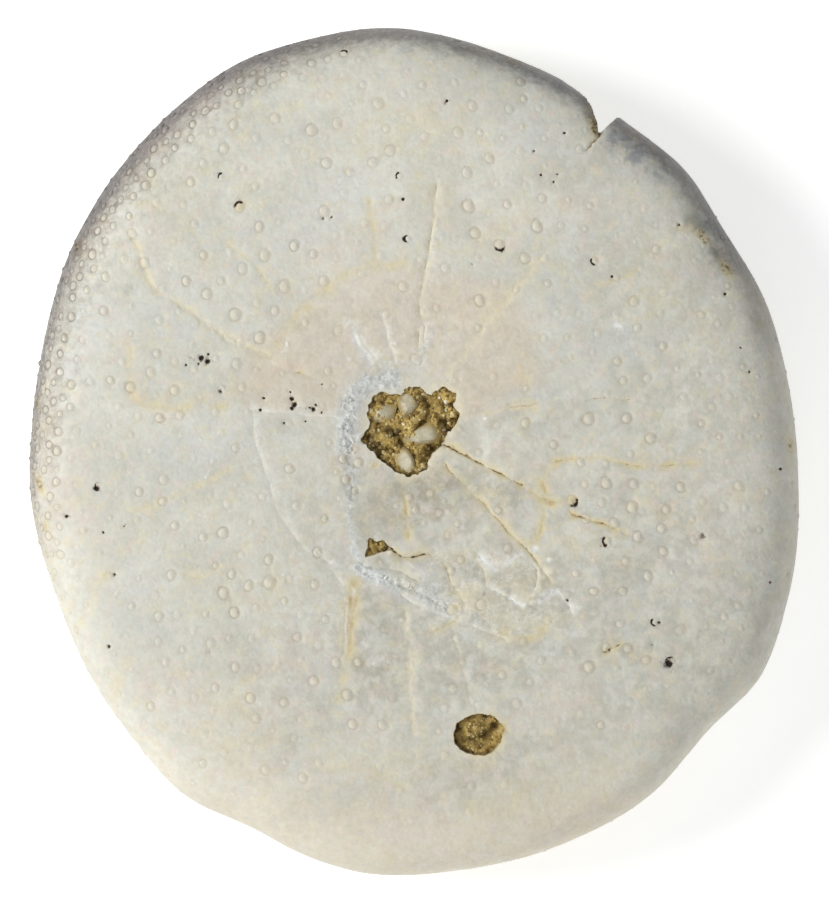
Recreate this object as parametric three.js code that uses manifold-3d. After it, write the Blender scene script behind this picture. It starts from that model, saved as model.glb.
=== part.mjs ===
// A sand dollar: the hard test, or skeleton, of a flat burrowing sea urchin, lying mouth side up.
// The mouth near the middle, the vent behind it and a small chip beside them are packed with sand,
// and four pale grains sit in the sand of the mouth.
// Millimetres. +Z is up, +Y runs from the vent towards the front edge, and the origin is on the
// resting plane under the middle of the test.

import * as THREE from "three";
import { mergeVertices } from "three/addons/utils/BufferGeometryUtils.js";
import Module from "manifold-3d";

// Driving dimensions.
const testWidth = 49.8;
const testLength = 55;
const testHeight = 9;
const sideGap = 0.2; // round each plug of sand, and round each grain
const sectors = 96; // facets round the test
const sectionSteps = 30; // facets from the middle of the mouth side, round the rim, to the middle below

// The rim in plan, as points on a closed smooth curve, anticlockwise from the right-hand side.
const rimPoints = [
  [24.8, 0.5], [24.4, 4.8], [23.0, 9.2], [21.3, 13.8], [18.6, 17.3], [15.5, 20.7],
  [11.6, 23.7], [7.0, 26.3], [2.8, 27.4], [-2.8, 27.4], [-6.6, 26.6], [-11.2, 24.3],
  [-15.4, 21.1], [-18.9, 17.1], [-21.5, 12.3], [-23.5, 7.1], [-24.7, 1.8], [-24.4, -4.5],
  [-23.4, -9.8], [-21.6, -14.4], [-19.2, -18.6], [-15.5, -21.6], [-11.7, -24.7], [-7.2, -26.7],
  [0, -27.5], [5.8, -26.8], [10.4, -25.2], [14.7, -22.1], [18.8, -19.4], [21.5, -15.2],
  [23.3, -10.6], [24.5, -4.7],
];

// The section from the mouth out round the rim and back under: [share of the rim's radius, height].
const section = [
  [0, 7.7], [0.1, 7.85], [0.25, 8.25], [0.45, 8.65], [0.64, 8.93], [0.8, 9.0],
  [0.89, 8.84], [0.945, 8.3], [0.983, 7.15], [1, 5.5], [0.988, 4.2], [0.953, 3.05],
  [0.885, 2.05], [0.77, 1.2], [0.62, 0.55], [0.46, 0.14],
];
const restingShare = 0.33; // the flat that the test rests on, as a share of the rim's radius

// Where a piece of the rim has broken away: its outline in plan, from the inner corner.
const nick = [
  [16.45, 17.25], [17.65, 17.95], [18.2, 18.6], [20.5, 21], [16, 22.5],
  [15.2, 21], [15.9, 20.1], [16.3, 19.3], [16.38, 18.4],
];

// Holes in the mouth side: the edge in plan, the height of the floor, and of the sand that fills it.
const mouth = {
  edge: [
    [-0.7, 4.0], [0.1, 3.65], [0.9, 4.0], [2.0, 3.2], [2.9, 3.45], [3.7, 2.7], [3.3, 2.2],
    [3.7, 1.5], [2.6, 0.5], [2.1, -0.1], [1.2, -0.7], [0.4, -1.6], [-0.5, -1.75], [-1.1, -1.3],
    [-2.1, -0.2], [-3.0, 1.2], [-2.2, 2.2], [-2.2, 3.0], [-1.7, 3.8],
  ],
  floor: 6.0,
  sandTop: 7.1,
};
const vent = {
  edge: [
    [-1.5, -18.9], [-1.2, -18.0], [-0.5, -17.6], [0.4, -17.5], [1.3, -17.9],
    [1.9, -18.6], [1.8, -19.2], [1.2, -19.9], [0.4, -20.3], [-0.4, -20.1], [-1.1, -19.6],
  ],
  floor: 6.4,
  sandTop: 7.8,
};
const chip = {
  edge: [[-4.4, -6.1], [-3.85, -4.9], [-3.0, -5.3], [-2.5, -6.0], [-3.3, -6.05]],
  floor: 7.2,
  sandTop: 7.8,
};

// Grains in the mouth: place in plan, half sizes and turn about the vertical.
const grains = [
  { name: "mouth_grain_1", at: [-1.25, 2.75], half: [0.72, 0.55, 0.42], turn: 0.2 },
  { name: "mouth_grain_2", at: [0.5, 2.95], half: [0.5, 0.72, 0.4], turn: -0.35 },
  { name: "mouth_grain_3", at: [0.95, 0.75], half: [0.95, 0.5, 0.42], turn: 0.25 },
  { name: "mouth_grain_4", at: [-0.5, -0.7], half: [0.48, 0.68, 0.42], turn: 0.15 },
];

const shellMaterial = new THREE.MeshStandardMaterial({ color: 0xd2d0c4, roughness: 0.6 });
const sandMaterial = new THREE.MeshStandardMaterial({ color: 0x756039, roughness: 0.95 });
const grainMaterial = new THREE.MeshStandardMaterial({ color: 0xb5ad98, roughness: 0.7 });

const wasm = await Module();
wasm.setup();

// A closed geometry as a solid that can be cut and joined.
function solidOf(geometry) {
  const plain = geometry.clone();
  plain.deleteAttribute("normal");
  plain.deleteAttribute("uv");
  const merged = mergeVertices(plain, 1e-4);
  return new wasm.Manifold(
    new wasm.Mesh({
      numProp: 3,
      vertProperties: new Float32Array(merged.attributes.position.array),
      triVerts: new Uint32Array(merged.index.array),
    }),
  );
}

function geometryOf(solid) {
  const mesh = solid.getMesh();
  const geometry = new THREE.BufferGeometry();
  geometry.setAttribute("position", new THREE.BufferAttribute(mesh.vertProperties, 3));
  geometry.setIndex(new THREE.BufferAttribute(mesh.triVerts, 1));
  const flat = geometry.toNonIndexed();
  flat.computeVertexNormals();
  return flat;
}

// The rim's radius at an angle, from the closed curve, stretched to the test's width and length.
function rimRadius() {
  const corners = rimPoints.map(([x, y]) => new THREE.Vector3(x, y, 0));
  const points = new THREE.CatmullRomCurve3(corners, true, "centripetal").getPoints(1440);
  const box = new THREE.Box3().setFromPoints(points);
  const middle = box.getCenter(new THREE.Vector3());
  const size = box.getSize(new THREE.Vector3());
  const polar = points.slice(0, -1).map((p) => {
    const x = ((p.x - middle.x) * testWidth) / size.x;
    const y = ((p.y - middle.y) * testLength) / size.y;
    return { angle: Math.atan2(y, x), radius: Math.hypot(x, y) };
  });
  polar.sort((a, b) => a.angle - b.angle);
  const turn = 2 * Math.PI;
  const last = polar[polar.length - 1];
  polar.unshift({ angle: last.angle - turn, radius: last.radius });
  polar.push({ angle: polar[1].angle + turn, radius: polar[1].radius });
  return (angle) => {
    const after = polar.findIndex((p) => p.angle >= angle);
    const high = Math.max(after, 1);
    const a = polar[high - 1];
    const b = polar[high];
    return THREE.MathUtils.mapLinear(angle, a.angle, b.angle, a.radius, b.radius);
  };
}

// The whole test, before anything is broken or opened: a lathe of the section whose radius follows
// the rim. The middle of the underside is a flat that it rests on.
function wholeTest() {
  const through = section.map(([share, height]) => new THREE.Vector2(share, height));
  through.push(new THREE.Vector2(restingShare, 0));
  const profile = new THREE.SplineCurve(through).getSpacedPoints(sectionSteps);
  profile[0].x = 0;
  profile.push(new THREE.Vector2(0, 0));
  profile.forEach((p) => p.set(p.x, THREE.MathUtils.clamp(p.y, 0, testHeight)));
  profile.reverse();
  const geometry = new THREE.LatheGeometry(profile, sectors).rotateX(Math.PI / 2);
  const radius = rimRadius();
  const place = geometry.attributes.position;
  for (let i = 0; i < place.count; i++) {
    const x = place.getX(i);
    const y = place.getY(i);
    const stretch = radius(Math.atan2(y, x));
    place.setXY(i, x * stretch, y * stretch);
  }
  return solidOf(geometry);
}

// An upright prism on a plan outline.
function prism(outline, bottom, top) {
  const shape = new THREE.Shape(outline.map(([x, y]) => new THREE.Vector2(x, y)));
  const geometry = new THREE.ExtrudeGeometry(shape, { depth: top - bottom, bevelEnabled: false });
  return solidOf(geometry.translate(0, 0, bottom));
}

// The outline drawn in towards its middle by a gap.
function drawnIn(outline, gap) {
  const middle = outline
    .reduce((sum, [x, y]) => [sum[0] + x, sum[1] + y], [0, 0])
    .map((sum) => sum / outline.length);
  return outline.map(([x, y]) => {
    const dx = x - middle[0];
    const dy = y - middle[1];
    const share = 1 - gap / Math.hypot(dx, dy);
    return [middle[0] + dx * share, middle[1] + dy * share];
  });
}

// A rounded grain, centred on the top of the mouth's sand and grown all round by a clearance.
function grainShape({ at, half, turn }, clearance) {
  return new THREE.IcosahedronGeometry(1, 1)
    .scale(half[0] + clearance, half[1] + clearance, half[2] + clearance)
    .rotateZ(turn)
    .translate(at[0], at[1], mouth.sandTop);
}

function brokenTest() {
  const above = testHeight + 1;
  const cutters = [mouth, vent, chip].map((hole) => prism(hole.edge, hole.floor, above));
  cutters.push(prism(nick, -1, above));
  return cutters.reduce((solid, cutter) => solid.subtract(cutter), wholeTest());
}

function plugOf(hole) {
  return prism(drawnIn(hole.edge, sideGap), hole.floor, hole.sandTop);
}

function mouthSand() {
  const seats = grains.map((grain) => solidOf(grainShape(grain, sideGap / 2)));
  return seats.reduce((solid, seat) => solid.subtract(seat), plugOf(mouth));
}

function addPiece(group, name, geometry, material) {
  const mesh = new THREE.Mesh(geometry, material);
  mesh.name = name;
  group.add(mesh);
}

const sandDollar = new THREE.Group();
addPiece(sandDollar, "test", geometryOf(brokenTest()), shellMaterial);
addPiece(sandDollar, "mouth_sand", geometryOf(mouthSand()), sandMaterial);
addPiece(sandDollar, "vent_sand", geometryOf(plugOf(vent)), sandMaterial);
addPiece(sandDollar, "chip_sand", geometryOf(plugOf(chip)), sandMaterial);
grains.forEach((grain) => addPiece(sandDollar, grain.name, grainShape(grain, 0), grainMaterial));

export default sandDollar;
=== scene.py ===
import math
import random

import bpy
import numpy as np
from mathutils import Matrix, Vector, kdtree, noise
from mathutils.geometry import delaunay_2d_cdt


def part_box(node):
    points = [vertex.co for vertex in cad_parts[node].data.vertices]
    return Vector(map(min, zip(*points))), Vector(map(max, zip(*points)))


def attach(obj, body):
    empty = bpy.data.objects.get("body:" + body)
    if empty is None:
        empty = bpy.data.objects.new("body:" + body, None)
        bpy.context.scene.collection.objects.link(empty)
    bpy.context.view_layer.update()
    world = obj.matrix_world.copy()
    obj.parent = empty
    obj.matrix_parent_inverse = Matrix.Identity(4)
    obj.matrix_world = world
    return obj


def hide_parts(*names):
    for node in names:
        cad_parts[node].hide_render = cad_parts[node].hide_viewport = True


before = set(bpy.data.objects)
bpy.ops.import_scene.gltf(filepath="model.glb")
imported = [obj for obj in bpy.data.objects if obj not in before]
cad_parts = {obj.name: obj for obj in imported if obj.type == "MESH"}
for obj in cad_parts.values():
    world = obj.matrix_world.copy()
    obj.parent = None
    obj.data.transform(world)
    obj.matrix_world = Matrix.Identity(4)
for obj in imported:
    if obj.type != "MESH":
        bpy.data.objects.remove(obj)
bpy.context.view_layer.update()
mm = 0.001
farOff = 99.0     # stands for any distance too long to matter
scene = bpy.context.scene


# curves, paths and distances, all in millimetres

def smoothCurve(points, closed, steps):
    p = np.array(points, float)
    n = len(p)
    spans = n if closed else n - 1
    at = np.linspace(0, spans, spans * steps + 1)
    i = np.minimum(at.astype(int), spans - 1)
    f = (at - i)[:, None]
    a, b, c, d = [p[(i + k) % n] if closed else p[np.clip(i + k, 0, n - 1)] for k in (-1, 0, 1, 2)]
    return 0.5 * (2 * b + (c - a) * f + (2 * a - 5 * b + 4 * c - d) * f**2 + (3 * b - a - 3 * c + d) * f**3)


def evenPath(points, spacing, closed=False):
    p = np.array(points, float)
    if closed:
        p = closedLoop(p)
    far = np.concatenate([[0], np.cumsum(np.hypot(*np.diff(p, axis=0).T))])
    count = max(2, int(round(far[-1] / spacing)) + 1)
    at = np.linspace(0, far[-1], count)
    if closed:
        at = at[:-1]
    return np.stack([np.interp(at, far, p[:, 0]), np.interp(at, far, p[:, 1])], 1)


def wobble(points, size, reach, seed):
    p = np.array(points, float)
    push = [noise.noise_vector(Vector((x / reach, y / reach, seed))) for x, y in p]
    return p + size * np.array([(v.x, v.y) for v in push])


def distanceToPath(points, path, reach):
    best = np.full(len(points), farOff)
    low, high = path.min(0) - reach, path.max(0) + reach
    near = np.where(((points > low) & (points < high)).all(1))[0]
    if not len(near):
        return best
    p = points[near]
    least = np.full(len(p), farOff)
    for a, b in zip(path[:-1], path[1:]):
        ab = b - a
        s = np.clip(((p - a) @ ab) / max(ab @ ab, 1e-12), 0, 1)
        least = np.minimum(least, np.hypot(*(p - a - s[:, None] * ab).T))
    best[near] = least
    return best


def insideLoop(points, loop):
    x, y = points[:, 0], points[:, 1]
    inside = np.zeros(len(points), bool)
    for (ax, ay), (bx, by) in zip(loop, np.roll(loop, -1, 0)):
        crosses = (ay > y) != (by > y)
        with np.errstate(divide="ignore", invalid="ignore"):
            inside ^= crosses & (x < (bx - ax) * (y - ay) / (by - ay) + ax)
    return inside


def ease(x, low, high):
    t = np.clip((x - low) / (high - low), 0, 1)
    return t * t * (3 - 2 * t)


def bell(distance, width):
    return np.exp(-(distance / width) ** 2)


def polar(radius, angle):
    return np.stack([radius * np.cos(angle), radius * np.sin(angle)], -1)


def ringOf(x, y, radius, count, turn=0.0):
    return np.array([x, y]) + polar(np.full(count, radius), turn + np.arange(count) * math.tau / count)


def gridOver(low, high, spacing):
    across, along = np.arange(low[0], high[0], spacing), np.arange(low[1], high[1], spacing)
    return np.stack(np.meshgrid(across, along), -1).reshape(-1, 2)


def closedLoop(loop):
    return np.vstack([loop, loop[:1]])


def drawnIn(loop, inset):
    middle = loop.mean(0)
    away = loop - middle
    return middle + away * (1 - inset / np.linalg.norm(away, axis=1, keepdims=True))


def ovalDistance(points, x, y, halfLong, halfShort, turn):
    # 1 on the edge of an oval that is turned by an angle in degrees
    c, s = math.cos(math.radians(turn)), math.sin(math.radians(turn))
    dx, dy = points[:, 0] - x, points[:, 1] - y
    return np.hypot((dx * c + dy * s) / halfLong, (dy * c - dx * s) / halfShort)


def treeOf(points):
    tree = kdtree.KDTree(len(points))
    for i, (x, y) in enumerate(points):
        tree.insert((x, y, 0), i)
    tree.balance()
    return tree


# the shell's overall form

shell = {
    # rim in plan, anticlockwise from the right
    "rim": [
        (24.8, 0.5), (24.4, 4.8), (23.0, 9.2), (21.3, 13.8), (18.6, 17.3), (15.5, 20.7),
        (11.6, 23.7), (7.0, 26.3), (2.8, 27.4), (-2.8, 27.4), (-6.6, 26.6), (-11.2, 24.3),
        (-15.4, 21.1), (-18.9, 17.1), (-21.5, 12.3), (-23.5, 7.1), (-24.7, 1.8), (-24.4, -4.5),
        (-23.4, -9.8), (-21.6, -14.4), (-19.2, -18.6), (-15.5, -21.6), (-11.7, -24.7), (-7.2, -26.7),
        (0, -27.5), (5.8, -26.8), (10.4, -25.2), (14.7, -22.1), (18.8, -19.4), (21.5, -15.2),
        (23.3, -10.6), (24.5, -4.7),
    ],
    # from the middle of the mouth side out round the rim and under: share of the rim's radius, height
    "section": [
        (0, 7.7), (0.1, 7.85), (0.25, 8.25), (0.45, 8.65), (0.64, 8.93), (0.8, 9.0),
        (0.89, 8.84), (0.945, 8.3), (0.983, 7.15), (1, 5.5), (0.988, 4.2), (0.953, 3.05),
        (0.885, 2.05), (0.77, 1.2), (0.62, 0.55), (0.46, 0.14), (0.33, 0), (0.15, 0), (0, 0),
    ],
    "radius": 26.0,          # stands for the rim's radius where the surface is laid out flat
    "rimSpacing": 0.42,
    "spacing": 0.56,         # between plain points of the surface
    "bend": 21.5, "bendSpacing": 0.43,    # where the surface turns down to the rim, and how close its points are
    # the broken notch in the rim, from its left lip to its right: angle in degrees, radius
    "notch": [(55.5, 26.2), (54.1, 25.9), (51.6, 25.6), (49.8, 25.2), (48.3, 24.6), (46.9, 23.95),
              (46.35, 23.8), (45.5, 25.15), (44.9, 26.2)],
    "notchRounding": 0.22,
    "notchSpan": (44.2, 55.8, 0.4),    # first and last angle of the finer points round it, and their step
    "smoothing": 12,         # passes over the rim in plan
    "sharpFrom": 52,         # degrees between faces
}

sizeLow, sizeHigh = [np.array(corner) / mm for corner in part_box("test")]
rimCurve = smoothCurve(shell["rim"], True, 45)[:-1]
rimLow, rimHigh = rimCurve.min(0), rimCurve.max(0)
rimCurve = (rimCurve - (rimLow + rimHigh) / 2) * (sizeHigh - sizeLow)[:2] / (rimHigh - rimLow)
rimAngle = np.arctan2(rimCurve[:, 1], rimCurve[:, 0])
evenAngle = np.linspace(-math.pi, math.pi, 1440, endpoint=False)
evenRadius = np.interp(evenAngle, np.sort(rimAngle), np.hypot(*rimCurve[np.argsort(rimAngle)].T),
                       period=2 * math.pi)
for _ in range(shell["smoothing"]):
    evenRadius = (np.roll(evenRadius, 1) + 2 * evenRadius + np.roll(evenRadius, -1)) / 4

sectionCurve = smoothCurve(shell["section"], False, 60)
sectionShare = np.clip(sectionCurve[:, 0], 0, 1)
sectionHeight = np.clip(sectionCurve[:, 1], 0, 9)
alongSection = np.concatenate([[0], np.cumsum(np.hypot(np.diff(sectionShare * shell["radius"]),
                                                       np.diff(sectionHeight)))])
rimIndex = int(np.argmax(sectionShare))
rimAt, lastAt = alongSection[rimIndex], alongSection[-1]
risingAlong = alongSection + np.arange(len(alongSection)) * 1e-9    # no two places quite the same
tangentOut = np.gradient(sectionShare * shell["radius"], risingAlong)
tangentUp = np.gradient(sectionHeight, risingAlong)


def rimRadius(angle):
    return np.interp(angle, evenAngle, evenRadius, period=2 * math.pi)


def notchRadius(angle):
    degrees, radius = np.array(shell["notch"][::-1]).T
    return np.interp(np.degrees(angle), degrees, radius, left=farOff, right=farOff)


# A flat layout of each side: the distance along the section is the radius, so nothing is squeezed
# at the rim. layoutOf takes plan positions on the mouth side, placeOf gives the point in space.
def layoutOf(plan):
    plan = np.array(plan, float).reshape(-1, 2)
    angle = np.arctan2(plan[:, 1], plan[:, 0])
    share = np.hypot(*plan.T) / rimRadius(angle)
    along = np.interp(share, sectionShare[:rimIndex + 1], alongSection[:rimIndex + 1])
    return polar(along, angle)


def placeOf(layout, mouthSide):
    angle = np.arctan2(layout[:, 1], layout[:, 0])
    along = np.hypot(*layout.T)
    if not mouthSide:
        along = lastAt - along
    full = np.interp(along, alongSection, sectionShare) * rimRadius(angle)
    height = np.interp(along, alongSection, sectionHeight)
    cut = notchRadius(angle)
    soft = shell["notchRounding"]
    mix = np.clip(0.5 + (cut - full) / (2 * soft), 0, 1)
    radius = cut * (1 - mix) + full * mix - soft * mix * (1 - mix)
    outward = -np.interp(along, alongSection, tangentUp)
    upward = np.interp(along, alongSection, tangentOut)
    way = np.stack([np.cos(angle) * outward, np.sin(angle) * outward, upward], 1)
    way /= np.maximum(np.linalg.norm(way, axis=1, keepdims=True), 1e-9)
    broken = ease(full - cut, -0.1, 0.25)
    return np.stack([radius * np.cos(angle), radius * np.sin(angle), height], 1), way, broken


# what is on the mouth side: holes, seams and cracks, dirt, crushed bands, tinted areas

holes = {
    "mouth": {
        "edge": [(-0.7, 4.0), (-0.3, 3.8), (0.1, 3.65), (0.9, 4.0), (1.4, 3.8), (2.0, 3.2), (2.8, 3.5),
                 (3.3, 3.2), (3.7, 2.7), (3.3, 2.2), (3.7, 1.5), (3.0, 0.8), (2.5, 0.4), (2.1, -0.1),
                 (1.3, -0.6), (0.8, -1.3), (0.3, -1.6), (-0.5, -1.75), (-1.0, -1.4), (-1.5, -0.9),
                 (-2.1, -0.2), (-2.5, 0.5), (-3.0, 1.2), (-2.6, 1.8), (-2.15, 2.3), (-2.2, 3.0),
                 (-1.8, 3.7), (-1.3, 4.0)],
        "floor": 6.0, "ragged": 0.17, "lipOchre": 0.6, "lipWhite": 0.35,
    },
    "vent": {
        "edge": [(-1.5, -18.9), (-1.25, -18.2), (-0.9, -17.75), (-0.3, -17.6), (0.4, -17.5), (1.1, -17.75),
                 (1.7, -18.35), (1.85, -18.9), (1.5, -19.6), (1.0, -20.05), (0.4, -20.3), (-0.4, -20.1),
                 (-1.1, -19.6)],
        "floor": 6.4, "ragged": 0.1, "lipOchre": 0.6, "lipWhite": 0.1,
    },
    "chip": {
        "edge": [(-4.4, -6.1), (-4.15, -5.5), (-3.85, -4.9), (-3.5, -5.25), (-3.0, -5.3), (-2.75, -5.7),
                 (-2.5, -6.0), (-3.3, -6.05)],
        "floor": 7.2, "ragged": 0.05, "lipOchre": 0.4, "lipWhite": 0.3,
    },
}

# each line: path in plan, width, depth, then how ochre, how dark and how white it is
seams = [
    # from the mouth towards the back right: the open crack, then its stained end
    ([(2.2, -0.2), (3, -0.9), (4.6, -2.15), (5.8, -3.2), (6.5, -3.75)], 0.075, 0.14, 0.9, 0.6, 0),
    ([(2.2, -0.55), (3.2, -1.3), (4.2, -2.1)], 0.06, 0.04, 0.6, 0.2, 0.2),
    ([(6.5, -3.75), (7.2, -4.5), (8.1, -5.3)], 0.13, 0.05, 0.9, 0.2, 0),
    ([(9.1, -6.3), (10.3, -7.0), (11.4, -7.7), (12.4, -8.4)], 0.09, 0.08, 0.95, 0.45, 0),
    ([(2.0, -1.5), (3.0, -3.2), (4.0, -4.8), (5.2, -6.9), (6.2, -8.6), (6.9, -10.3)], 0.08, 0.06, 0.9, 0.34, 0.2),
    ([(6.3, -7.9), (6.9, -7.2), (7.4, -6.0), (7.3, -4.8)], 0.16, 0.03, 0.9, 0.1, 0),
    ([(8.0, -5.5), (7.8, -4.1), (8.3, -3.3), (9.3, -2.9)], 0.17, 0.02, 0.85, 0, 0),
    ([(9.0, -2.75), (10.6, -2.9), (12.2, -3.4), (14.0, -4.2), (18.1, -5.0)], 0.1, 0.04, 0.8, 0.3, 0),
    # white lines and pale veins in front of the mouth
    ([(-2.1, 8.9), (-1.8, 7.6), (-1.3, 6.0)], 0.1, 0.04, 0.2, 0, 1.0),
    ([(-2.2, 8.9), (-1.75, 8.8), (-1.4, 7.4), (-0.9, 6.2)], 0.07, 0.03, 0.1, 0, 0.9),
    ([(0.25, 8.9), (0.2, 7.4), (0.3, 5.9)], 0.1, 0.05, 0.35, 0, 0.6),
    ([(5.5, 16.4), (4.6, 13.8), (3.6, 11.4), (2.8, 9.3), (2.3, 7.4), (2.0, 6.4)], 0.08, 0.06, 0.6, 0.22, 0.3),
    ([(2.6, 7.6), (2.3, 6.3)], 0.07, 0.05, 0.1, 0.1, 0.6),
    ([(0.9, 16.3), (0.75, 14.2), (0.3, 12.4)], 0.16, 0.02, 0.5, 0, 0),
    ([(-14.5, 17.6), (-14.1, 15.6), (-13.7, 13.7), (-11.7, 11.7), (-9.6, 9.5), (-7.3, 7.8)],
     0.15, 0.05, 0.55, 0, 0.2),
    ([(-11.5, 11.3), (-9.7, 9.3)], 0.07, 0.05, 0.6, 0.1, 0.4),
    ([(-7.3, 7.8), (-6.4, 8.9), (-5.3, 9.9), (-2.8, 11.4), (-0.6, 12.1), (2.3, 11.8)], 0.3, 0.02, 0.45, 0, 0),
    ([(-7.4, 7.6), (-6.6, 8.1), (-5.9, 9.2)], 0.1, 0.04, 0.4, 0, 0.6),
    ([(-8.5, 15.6), (-7.1, 13.9), (-6.6, 12.5)], 0.15, 0.03, 0.5, 0, 0.1),
    ([(-3, 2.9), (-5, 3.4), (-8, 4.3), (-9.5, 4.9)], 0.07, 0.05, 0.3, 0.1, 0.75),
    ([(-9.4, 4.6), (-9.6, 3), (-9.5, 1)], 0.09, 0.03, 0.2, 0, 0.4),
    ([(-9.5, 1.1), (-9.1, -2.3), (-8.1, -4.7), (-7.0, -5.7), (-6.1, -7.6)], 0.06, 0.03, 0.3, 0.0, 0.5),
    ([(5.2, 1.15), (7, 1.2), (8.5, 1.1)], 0.07, 0.05, 0.85, 0.35, 0.3),
    ([(11.7, 0.6), (13, 0.5), (14.4, 0.0)], 0.055, 0.06, 0.35, 0.55, 0),
    ([(11.3, 10.4), (9.3, 8.9), (6.9, 7.1), (4.0, 4.7), (3.4, 4.1)], 0.2, 0.03, 0.5, 0, 0.2),
    ([(-16.1, 10.7), (-16.7, 8.1), (-16.2, 6.7), (-13.4, 5.9), (-11.1, 5.5)], 0.22, 0.02, 0.44, 0, 0),
    # behind the mouth
    ([(-5.4, -7.6), (-6.1, -9.2), (-6.6, -10.9), (-7.0, -12.2)], 0.3, 0.03, 0.92, 0.0, 0.0),
    ([(-7.0, -12.2), (-7.5, -13.3), (-8.1, -14.6)], 0.3, 0.02, 0.42, 0, 0),
    ([(-5.6, -7.9), (-6.2, -9.6), (-6.8, -11.2)], 0.06, 0.04, 0.8, 0.12, 0.5),
    ([(-6.1, -8.6), (-6.8, -10.8), (-7.5, -12.6)], 0.06, 0.04, 0.6, 0, 0.7),
    ([(-2.6, -9.7), (-3.0, -12.0), (-3.3, -14.3), (-3.9, -17.8)], 0.16, 0.04, 0.5, 0, 0.3),
    ([(-1.0, -2.1), (-1.15, -3.4), (-1.4, -5.4)], 0.13, 0.04, 0.85, 0, 0),
    ([(-2.5, -6), (-1.8, -6.7), (-0.8, -6.7), (-0.2, -6.9)], 0.1, 0.12, 0.9, 0.6, 0.1),
    ([(-0.2, -6.9), (1.2, -7.15), (2.5, -7.3)], 0.09, 0.05, 0.7, 0.15, 0.3),
    ([(2.7, -7.5), (3.1, -8.2), (4.2, -8.5), (5.4, -8.2)], 0.11, 0.05, 0.1, 0, 0.9),
    ([(-4.8, -7), (-4.0, -7.4), (-3.2, -7.9), (-2.1, -8.7), (-0.9, -9.7), (0.1, -10.3)], 0.05, 0.1, 0.2, 0.36, 0),
    ([(-4.6, -6.5), (-3.6, -7.1), (-2.6, -7.4), (-1.3, -8.3)], 0.05, 0.07, 0.3, 0.3, 0.3),
    ([(-2.6, -9.1), (-1.4, -10.2), (-0.2, -11.0), (2.1, -12.5), (3.2, -13.2)], 0.09, 0.08, 0.3, 0.1, 0.5),
    ([(2.7, -9.6), (4.4, -11.0), (5.8, -11.4), (7.1, -11.0), (7.8, -12.1)], 0.1, 0.07, 0.4, 0.15, 0.8),
    ([(-1.5, -12.0), (0.3, -11.4), (1.2, -10.6), (0.8, -9.2), (0.3, -7.2)], 0.08, 0.05, 0.75, 0.2, 0.1),
    ([(1.2, -10.6), (2.6, -10.2), (2.9, -8.9), (2.6, -7.6)], 0.07, 0.05, 0.6, 0.15, 0.3),
    ([(5.5, -8.3), (6.2, -9.4), (5.7, -10.6), (4.6, -11.1)], 0.07, 0.05, 0.4, 0.2, 0.5),
    ([(3.2, -13), (5.1, -13.6), (6.2, -12.5)], 0.2, 0.02, 0.7, 0, 0),
    # the corner of the notch, a dark crack with painted shadow in it, and short marks
    ([(16.5, 17.3), (16.3, 17.0)], 0.14, 0.3, 0.3, 1.0, 0),
    ([(16.3, 17.0), (15.9, 16.7), (15.3, 16.3)], 0.07, 0.12, 0.5, 0.5, 0),
    ([(-6, 6.5), (-5.4, 6.1)], 0.06, 0.06, 0.6, 0.4, 0),
    ([(-5.3, -6.6), (-6.4, -6.2), (-7.3, -5.1)], 0.08, 0.04, 0.1, 0, 0.5),
    ([(0.05, -11.8), (0.15, -14), (0.1, -16.8)], 0.09, 0.03, 0.35, 0, 0.25),
    ([(-5.9, -11.4), (-5.0, -12.6), (-4.5, -13.2)], 0.1, 0.03, 0.1, 0, 0.5),
    ([(-18.4, 0.2), (-14.6, 0.6), (-11.4, 1.3), (-10.4, 0.5)], 0.15, 0.02, 0.45, 0, 0.1),
    ([(-16.2, -4.5), (-14.5, -4.9), (-11.5, -3.6)], 0.12, 0.02, 0.4, 0.05, 0.1),
    ([(-13.0, -12.0), (-14.6, -12.6), (-14.2, -14.2)], 0.1, 0.02, 0.4, 0.1, 0),
    ([(9.2, -15.4), (10.6, -15.2)], 0.12, 0.05, 0.7, 0.45, 0),
    ([(13.0, 8.2), (14.6, 7.6), (16.9, 8.0)], 0.12, 0.02, 0.35, 0.05, 0),
    ([(-12.6, 19.0), (-10.9, 17.5), (-10.2, 15.6)], 0.14, 0.02, 0.32, 0, 0),
]

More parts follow.
